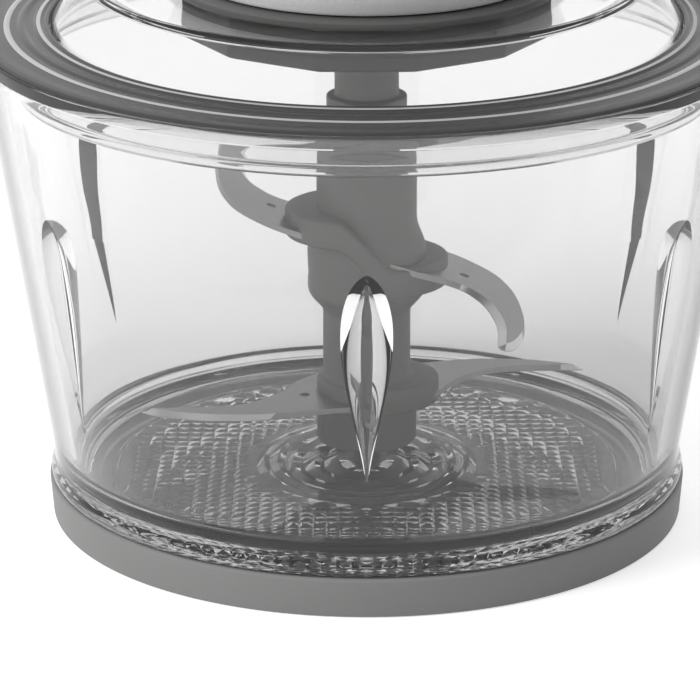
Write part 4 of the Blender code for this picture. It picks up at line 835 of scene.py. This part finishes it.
def makeSlotCutters():
    # Pills: a rounded outline in the face's plane, carried into the wall.
    h = headBase
    cutters = []
    face = h["corner"] * math.cos(math.pi / h["sides"])
    shift = h["corner"] * math.sin(math.pi / h["sides"]) * h["slotShift"]
    long, deep, tall = h["slot"]
    count = h["slotColumns"]
    turn = turnsOf(count)
    across = (long - tall) / 2 * np.sign(np.cos(turn)) + tall / 2 * np.cos(turn)
    up = tall / 2 * np.sin(turn) + h["low"] + h["slotRise"]
    for side, back in ((-1, 0), (1, 0), (-1, 1), (1, 1)):
        swing = side * fullTurn / h["sides"] + back * math.pi
        x = across + side * shift
        rows = []
        for y in (-face - deep / 2, -face + deep / 2):
            rows.append(np.stack([x * math.cos(swing) - y * math.sin(swing),
                                  x * math.sin(swing) + y * math.cos(swing), up], axis=1))
        middles = [row.mean(axis=0) for row in rows]
        faceSets = [gridFaces(2, count)[:, ::-1], fanFaces(0, count, 2 * count, False),
                    fanFaces(count, count, 2 * count + 1, True)]
        cutters.append(putMesh("slot_cutter", np.concatenate(rows + [middles]), faceSets, False))
    return cutters


def makeHeadBase():
    # Outside follows twelve sides below the flange and a circle above; inside is turned.
    h = headBase
    corner, low, flangeLow, flangeTop = h["corner"], h["low"], h["flangeLow"], h["flangeTop"]
    bevel, bandLow, bandTop = h["band"]
    turn = turnsOf(h["columns"])
    narrow = corner * h["bandShare"]
    line = [(h["mouth"], low), (h["lowShare"] * corner, low), (corner, low + bevel),
            (corner, low + bandLow), (narrow, low + bandTop), (narrow, flangeLow),
            (h["flange"], flangeLow), (h["flange"], flangeTop), (h["bay"], flangeTop),
            (h["bay"], h["ledge"]), (h["well"], h["ledge"]), (h["well"], h["floor"]),
            (h["mouth"], h["floor"])]
    curve = rounded(line, np.array(h["corners"]) * mm, 3)
    sided = np.zeros(len(line))
    sided[1:6] = 1.0                                       # from the boss's underside up to the flange
    sided = np.repeat(sided, 4)[:, None]
    radius = curve[:, :1] * (1 - sided + sided * twelveSided(1.0, turn, h["sides"])[None, :])
    faces = gridFaces(len(curve), h["columns"], rowsClose=True)
    made = putMesh("head_boss", carriedRound(radius, curve[:, 1:], turn), [faces], True, 25.0)
    joinSolids(made, makeSlotCutters(), "DIFFERENCE")
    return dress(made, "headDark", "head", "head_dark", "head_base")


sleeve = {
    "columns": 256, "foot": 46.0 * mm, "radius": 52.0 * mm, "low": 143.6 * mm, "top": 232.0 * mm,
    "flare": 16.0 * mm, "wall": 2.2 * mm, "corner": 0.5 * mm,
}


def makeSleeve():
    # The foot flares out by a sine over its height; the inside follows at the wall's thickness.
    h = sleeve
    swings = np.linspace(0.0, math.pi / 2, 12)
    bulge = h["foot"] + (h["radius"] - h["foot"]) * np.sin(swings)
    rise = h["low"] + h["flare"] * swings / (math.pi / 2)
    outside = list(zip(bulge, rise)) + [(h["radius"], h["top"])]
    inside = [(r - h["wall"], z) for r, z in outside][::-1]
    line = rounded(outside + inside, h["corner"], 2)
    made = lathe("head_sleeve_shell", line, h["columns"])
    return dress(made, "headLight", "head", "head_light", "head_sleeve")


cap = {
    "columns": 224, "low": 232.3 * mm, "top": 266.3 * mm, "topRadius": 38.0 * mm, "shoulder": 6.0 * mm,
    "wall": 2.2 * mm, "mouth": 21.3 * mm, "shelfTop": 247.5 * mm, "shelf": 2.0 * mm, "guide": 4.6 * mm,
    "corner": 0.4 * mm, "inletHole": 5.3 * mm, "inletReach": 15.0 * mm, "inletLevel": 244.3 * mm,
}


def makeCap():
    # Quarter-ellipse shoulder outside and inside, a button well, and a hole for the cord's inlet.
    h = cap
    side, wall, top, mouth, shelf = sleeve["radius"], h["wall"], h["top"], h["mouth"], h["shelfTop"]
    swings = np.linspace(0.0, math.pi / 2, 14)
    radius = h["topRadius"] + (side - h["topRadius"]) * np.cos(swings)
    level = top - h["shoulder"] * (1 - np.sin(swings))
    well, under = mouth + wall, shelf - h["shelf"]
    line = [(side - wall, h["low"]), (side, h["low"])] + list(zip(radius, level))
    line += [(mouth, top), (mouth, shelf), (h["guide"], shelf), (h["guide"], under), (well, under),
             (well, top - wall)]
    line += list(zip(radius - wall, level - wall * np.sin(swings)))[::-1]
    made = lathe("cap_shell", rounded(line, h["corner"], 2), h["columns"])
    hole, reach = h["inletHole"], h["inletReach"]
    bore = lathe("inlet_bore", [(0.0, -reach), (hole, -reach), (hole, reach), (0.0, reach)], 48)
    layBack(bore)
    joinSolids(made, [bore], "DIFFERENCE")
    return dress(made, "headDark", "head", "head_dark", "top_cap")


def layBack(piece):
    # Upright points (x, y, z) go to (x, start + z, level - y), so the piece points straight back.
    points = np.empty(len(piece.data.vertices) * 3, dtype=np.float32)
    piece.data.vertices.foreach_get("co", points)
    x, y, z = points.reshape(-1, 3).T
    turned = np.stack([x, sleeve["radius"] + z, cap["inletLevel"] - y], axis=1)
    piece.data.vertices.foreach_set("co", turned.ravel())
    piece.data.update()


# Foot and tip are points of radius and distance from the cap's wall, in mm.
inlet = {
    "columns": 96, "foot": [(3.3, -6.0), (5.0, -6.0), (5.0, 0.3), (6.2, 0.3), (6.5, 0.7), (6.5, 2.7)],
    "tip": [(3.9, 14.0), (3.5, 14.0), (3.3, 13.7)], "ribRows": 42, "ribFrom": 3.0, "ribTo": 13.2,
    "taperTo": 14.0, "taper": (6.3 * mm, 4.2 * mm), "ribDepth": 0.22 * mm, "ribPitch": 2.04 * mm,
}


def makeInlet():
    # Ribbed sleeve for the cord: its radius swings with a cosine along its length.
    h = inlet
    start, end = h["ribFrom"] * mm, h["taperTo"] * mm
    along = np.linspace(h["ribFrom"], h["ribTo"], h["ribRows"]) * mm
    taper = np.interp(along, [start, end], h["taper"])
    ribbed = taper - h["ribDepth"] * (1 + np.cos(fullTurn * (along - start) / h["ribPitch"])) / 2
    line = stepsFrom((0.0, 0.0), h["foot"]) + list(zip(ribbed, along)) + stepsFrom((0.0, 0.0), h["tip"])
    made = lathe("inlet_sleeve", line, h["columns"])
    layBack(made)
    return dress(made, "footRubber", "head", "foot_rubber", "cord_gland")


# The crown's points are shares of the radius and of the rise still left above them.
button = {
    "columns": 160, "radius": 21.0 * mm, "rise": 8.0 * mm, "wall": 2.2 * mm, "roof": 3.0 * mm,
    "tip": (3.2 * mm, 244.4 * mm), "skirt": 253.5 * mm,
    "crown": [(1.0, 0.8), (0.93, 0.55), (0.85, 0.38), (0.7, 0.2), (0.45, 0.06), (0.0, 0.0)],
    "corners": (0.0, 0.4, 0.3, 0.5, 0.3, 0.3, 1.6, 1.4, 1.6, 2.5, 3.0, 0.0),
}


def makeButton():
    # Crown profile with a soft rim, hollow below, and the stem that reaches the switch.
    r, rise, skirt = button["radius"], button["rise"], button["skirt"]
    pin, tip = button["tip"]
    roof, inside = cap["top"] - button["roof"], r - button["wall"]
    line = [(0.0, tip), (pin, tip), (pin, roof), (inside, roof), (inside, skirt), (r, skirt)]
    line += [(r * share, cap["top"] + rise - left * rise) for share, left in button["crown"]]
    line = rounded(line, np.array(button["corners"]) * mm, 4, closed=False)
    made = lathe("button_crown", line, button["columns"])
    return dress(made, "buttonPlastic", "button", "button_plastic", "press_button")


makeHeadBase()
makeSleeve()
makeCap()
makeInlet()
makeButton()
print("head made")

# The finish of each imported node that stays.
nodeFinishes = {
    "footRubber": [f"foot_pad_{i}" for i in (1, 2, 3, 4)],
    "pinSteel": ["pivot_pin", "button_spring", "armature_shaft", "lower_bearing", "upper_bearing"]
    + [f"{name}_{i}" for name in ("planet_pin", "case_screw", "motor_screw") for i in (1, 2, 3)]
    + ["motor_screw_4"],
    "gearNylon": ["ring_gear"] + [f"planet_gear_{i}" for i in (1, 2, 3)],
    "laminatedIron": ["stator_core", "armature_core", "sun_pinion", "planet_carrier"],
    "copperWire": ["field_coil_left", "field_coil_right", "armature_winding"],
    "copperBars": ["commutator"],
    "turnedBrass": ["hub_bush", "brush_holder_left", "brush_holder_right"],
    "carbon": ["brush_left", "brush_right"],
    "motorPlastic": ["cooling_fan", "motor_bracket", "gear_plate", "gear_cover"],
    "boardGreen": ["control_board"],
    "switchPlastic": ["micro_switch"],
}
for finishName, nodeNames in nodeFinishes.items():
    for nodeName in nodeNames:
        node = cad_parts[nodeName]
        node.data.materials.clear()
        node.data.materials.append(materials[finishName])
print("packed nodes dressed")

studio = {
    "world": 0.46, "floorHalf": 3.0, "floorGlow": 0.54, "floorColour": (0.80, 0.80, 0.80),
    "floorRough": 0.8, "floorSpecular": 0.1, "lampAim": (0.0, 0.0, 0.08),
    "lamps": [("keyLamp", (-0.85, -0.50, 0.75), 0.8, 12.0), ("fillLamp", (0.95, -0.45, 0.55), 0.8, 1.0),
              ("backLamp", (0.1, 1.1, 0.9), 1.0, 5.0)],
    "cameraPlace": (0.0, -1.2, 0.4622), "cameraPitch": 19.323, "focal": 4901.0, "imageWidth": 700.0,
    "middleColumn": 366.7, "sensor": 36.0, "near": 0.05, "far": 20.0,
}


def seenStraight(nodes, links):
    # 1 for camera, glossy and transmission rays, else 0.
    path = newNode(nodes, "LightPath").outputs
    seen = worked(nodes, links, "MAXIMUM", path["Is Camera Ray"], path["Is Glossy Ray"])
    return worked(nodes, links, "MAXIMUM", seen, path["Is Transmission Ray"])


def makeFloor():
    # A wide square that glows where it is seen straight, so it shows white round the shadow.
    half = studio["floorHalf"]
    points = np.array([[-half, -half, 0], [half, -half, 0], [half, half, 0], [-half, half, 0]])
    floor = putMesh("floor", points, [np.array([[0, 1, 2, 3]])])
    material = bpy.data.materials.new("floorPale")
    material.use_nodes = True
    nodes, links = material.node_tree.nodes, material.node_tree.links
    inputs = nodes["Principled BSDF"].inputs
    inputs["Base Color"].default_value = (*studio["floorColour"], 1.0)
    inputs["Roughness"].default_value = studio["floorRough"]
    inputs["Specular IOR Level"].default_value = studio["floorSpecular"]
    inputs["Emission Color"].default_value = (1.0, 1.0, 1.0, 1.0)
    strength = worked(nodes, links, "MULTIPLY", seenStraight(nodes, links))
    strength.node.inputs[1].default_value = studio["floorGlow"]
    links.new(strength, inputs["Emission Strength"])
    floor.data.materials.append(material)


def makeWorld():
    # White where it is seen straight; otherwise a soft grey dome.
    world = bpy.data.worlds.new("studioWorld")
    bpy.context.scene.world = world
    world.use_nodes = True
    nodes, links = world.node_tree.nodes, world.node_tree.links
    dome = studio["world"]
    mix = newNode(nodes, "Mix", {6: (dome, dome, dome, 1.0), 7: (1.0, 1.0, 1.0, 1.0)})
    mix.data_type = "RGBA"
    links.new(seenStraight(nodes, links), mix.inputs[0])
    links.new(mix.outputs[2], nodes["Background"].inputs["Color"])


def makeLamps():
    # Round soft lamps, each turned to the same point of the object.
    for name, place, size, power in studio["lamps"]:
        light = bpy.data.lights.new(name, "AREA")
        light.shape = "DISK"
        light.size = size
        light.energy = power
        lamp = bpy.data.objects.new(name, light)
        # The lamps light the object but aren't mirrored in it.
        lamp.visible_glossy = False
        lamp.visible_transmission = False
        lamp.location = place
        aim = Vector(studio["lampAim"]) - Vector(place)
        lamp.rotation_euler = aim.to_track_quat("-Z", "Y").to_euler()
        bpy.context.scene.collection.objects.link(lamp)


def makeCamera():
    # The photo's own viewpoint, in front of the object and above it.
    cameraData = bpy.data.cameras.new("photoCamera")
    # The lens follows from the focal length in pixels, the shift from the axis's column.
    cameraData.sensor_width = studio["sensor"]
    cameraData.lens = studio["sensor"] * studio["focal"] / studio["imageWidth"]
    cameraData.shift_x = -(studio["middleColumn"] - studio["imageWidth"] / 2) / studio["imageWidth"]
    cameraData.clip_start = studio["near"]
    cameraData.clip_end = studio["far"]
    camera = bpy.data.objects.new("photoCamera", cameraData)
    camera.location = studio["cameraPlace"]
    camera.rotation_euler = Euler((math.radians(90.0 - studio["cameraPitch"]), 0.0, 0.0))
    bpy.context.scene.collection.objects.link(camera)
    bpy.context.scene.camera = camera


makeFloor()
makeWorld()
makeLamps()
makeCamera()
bpy.context.scene.view_settings.view_transform = "Standard"
print("studio made")
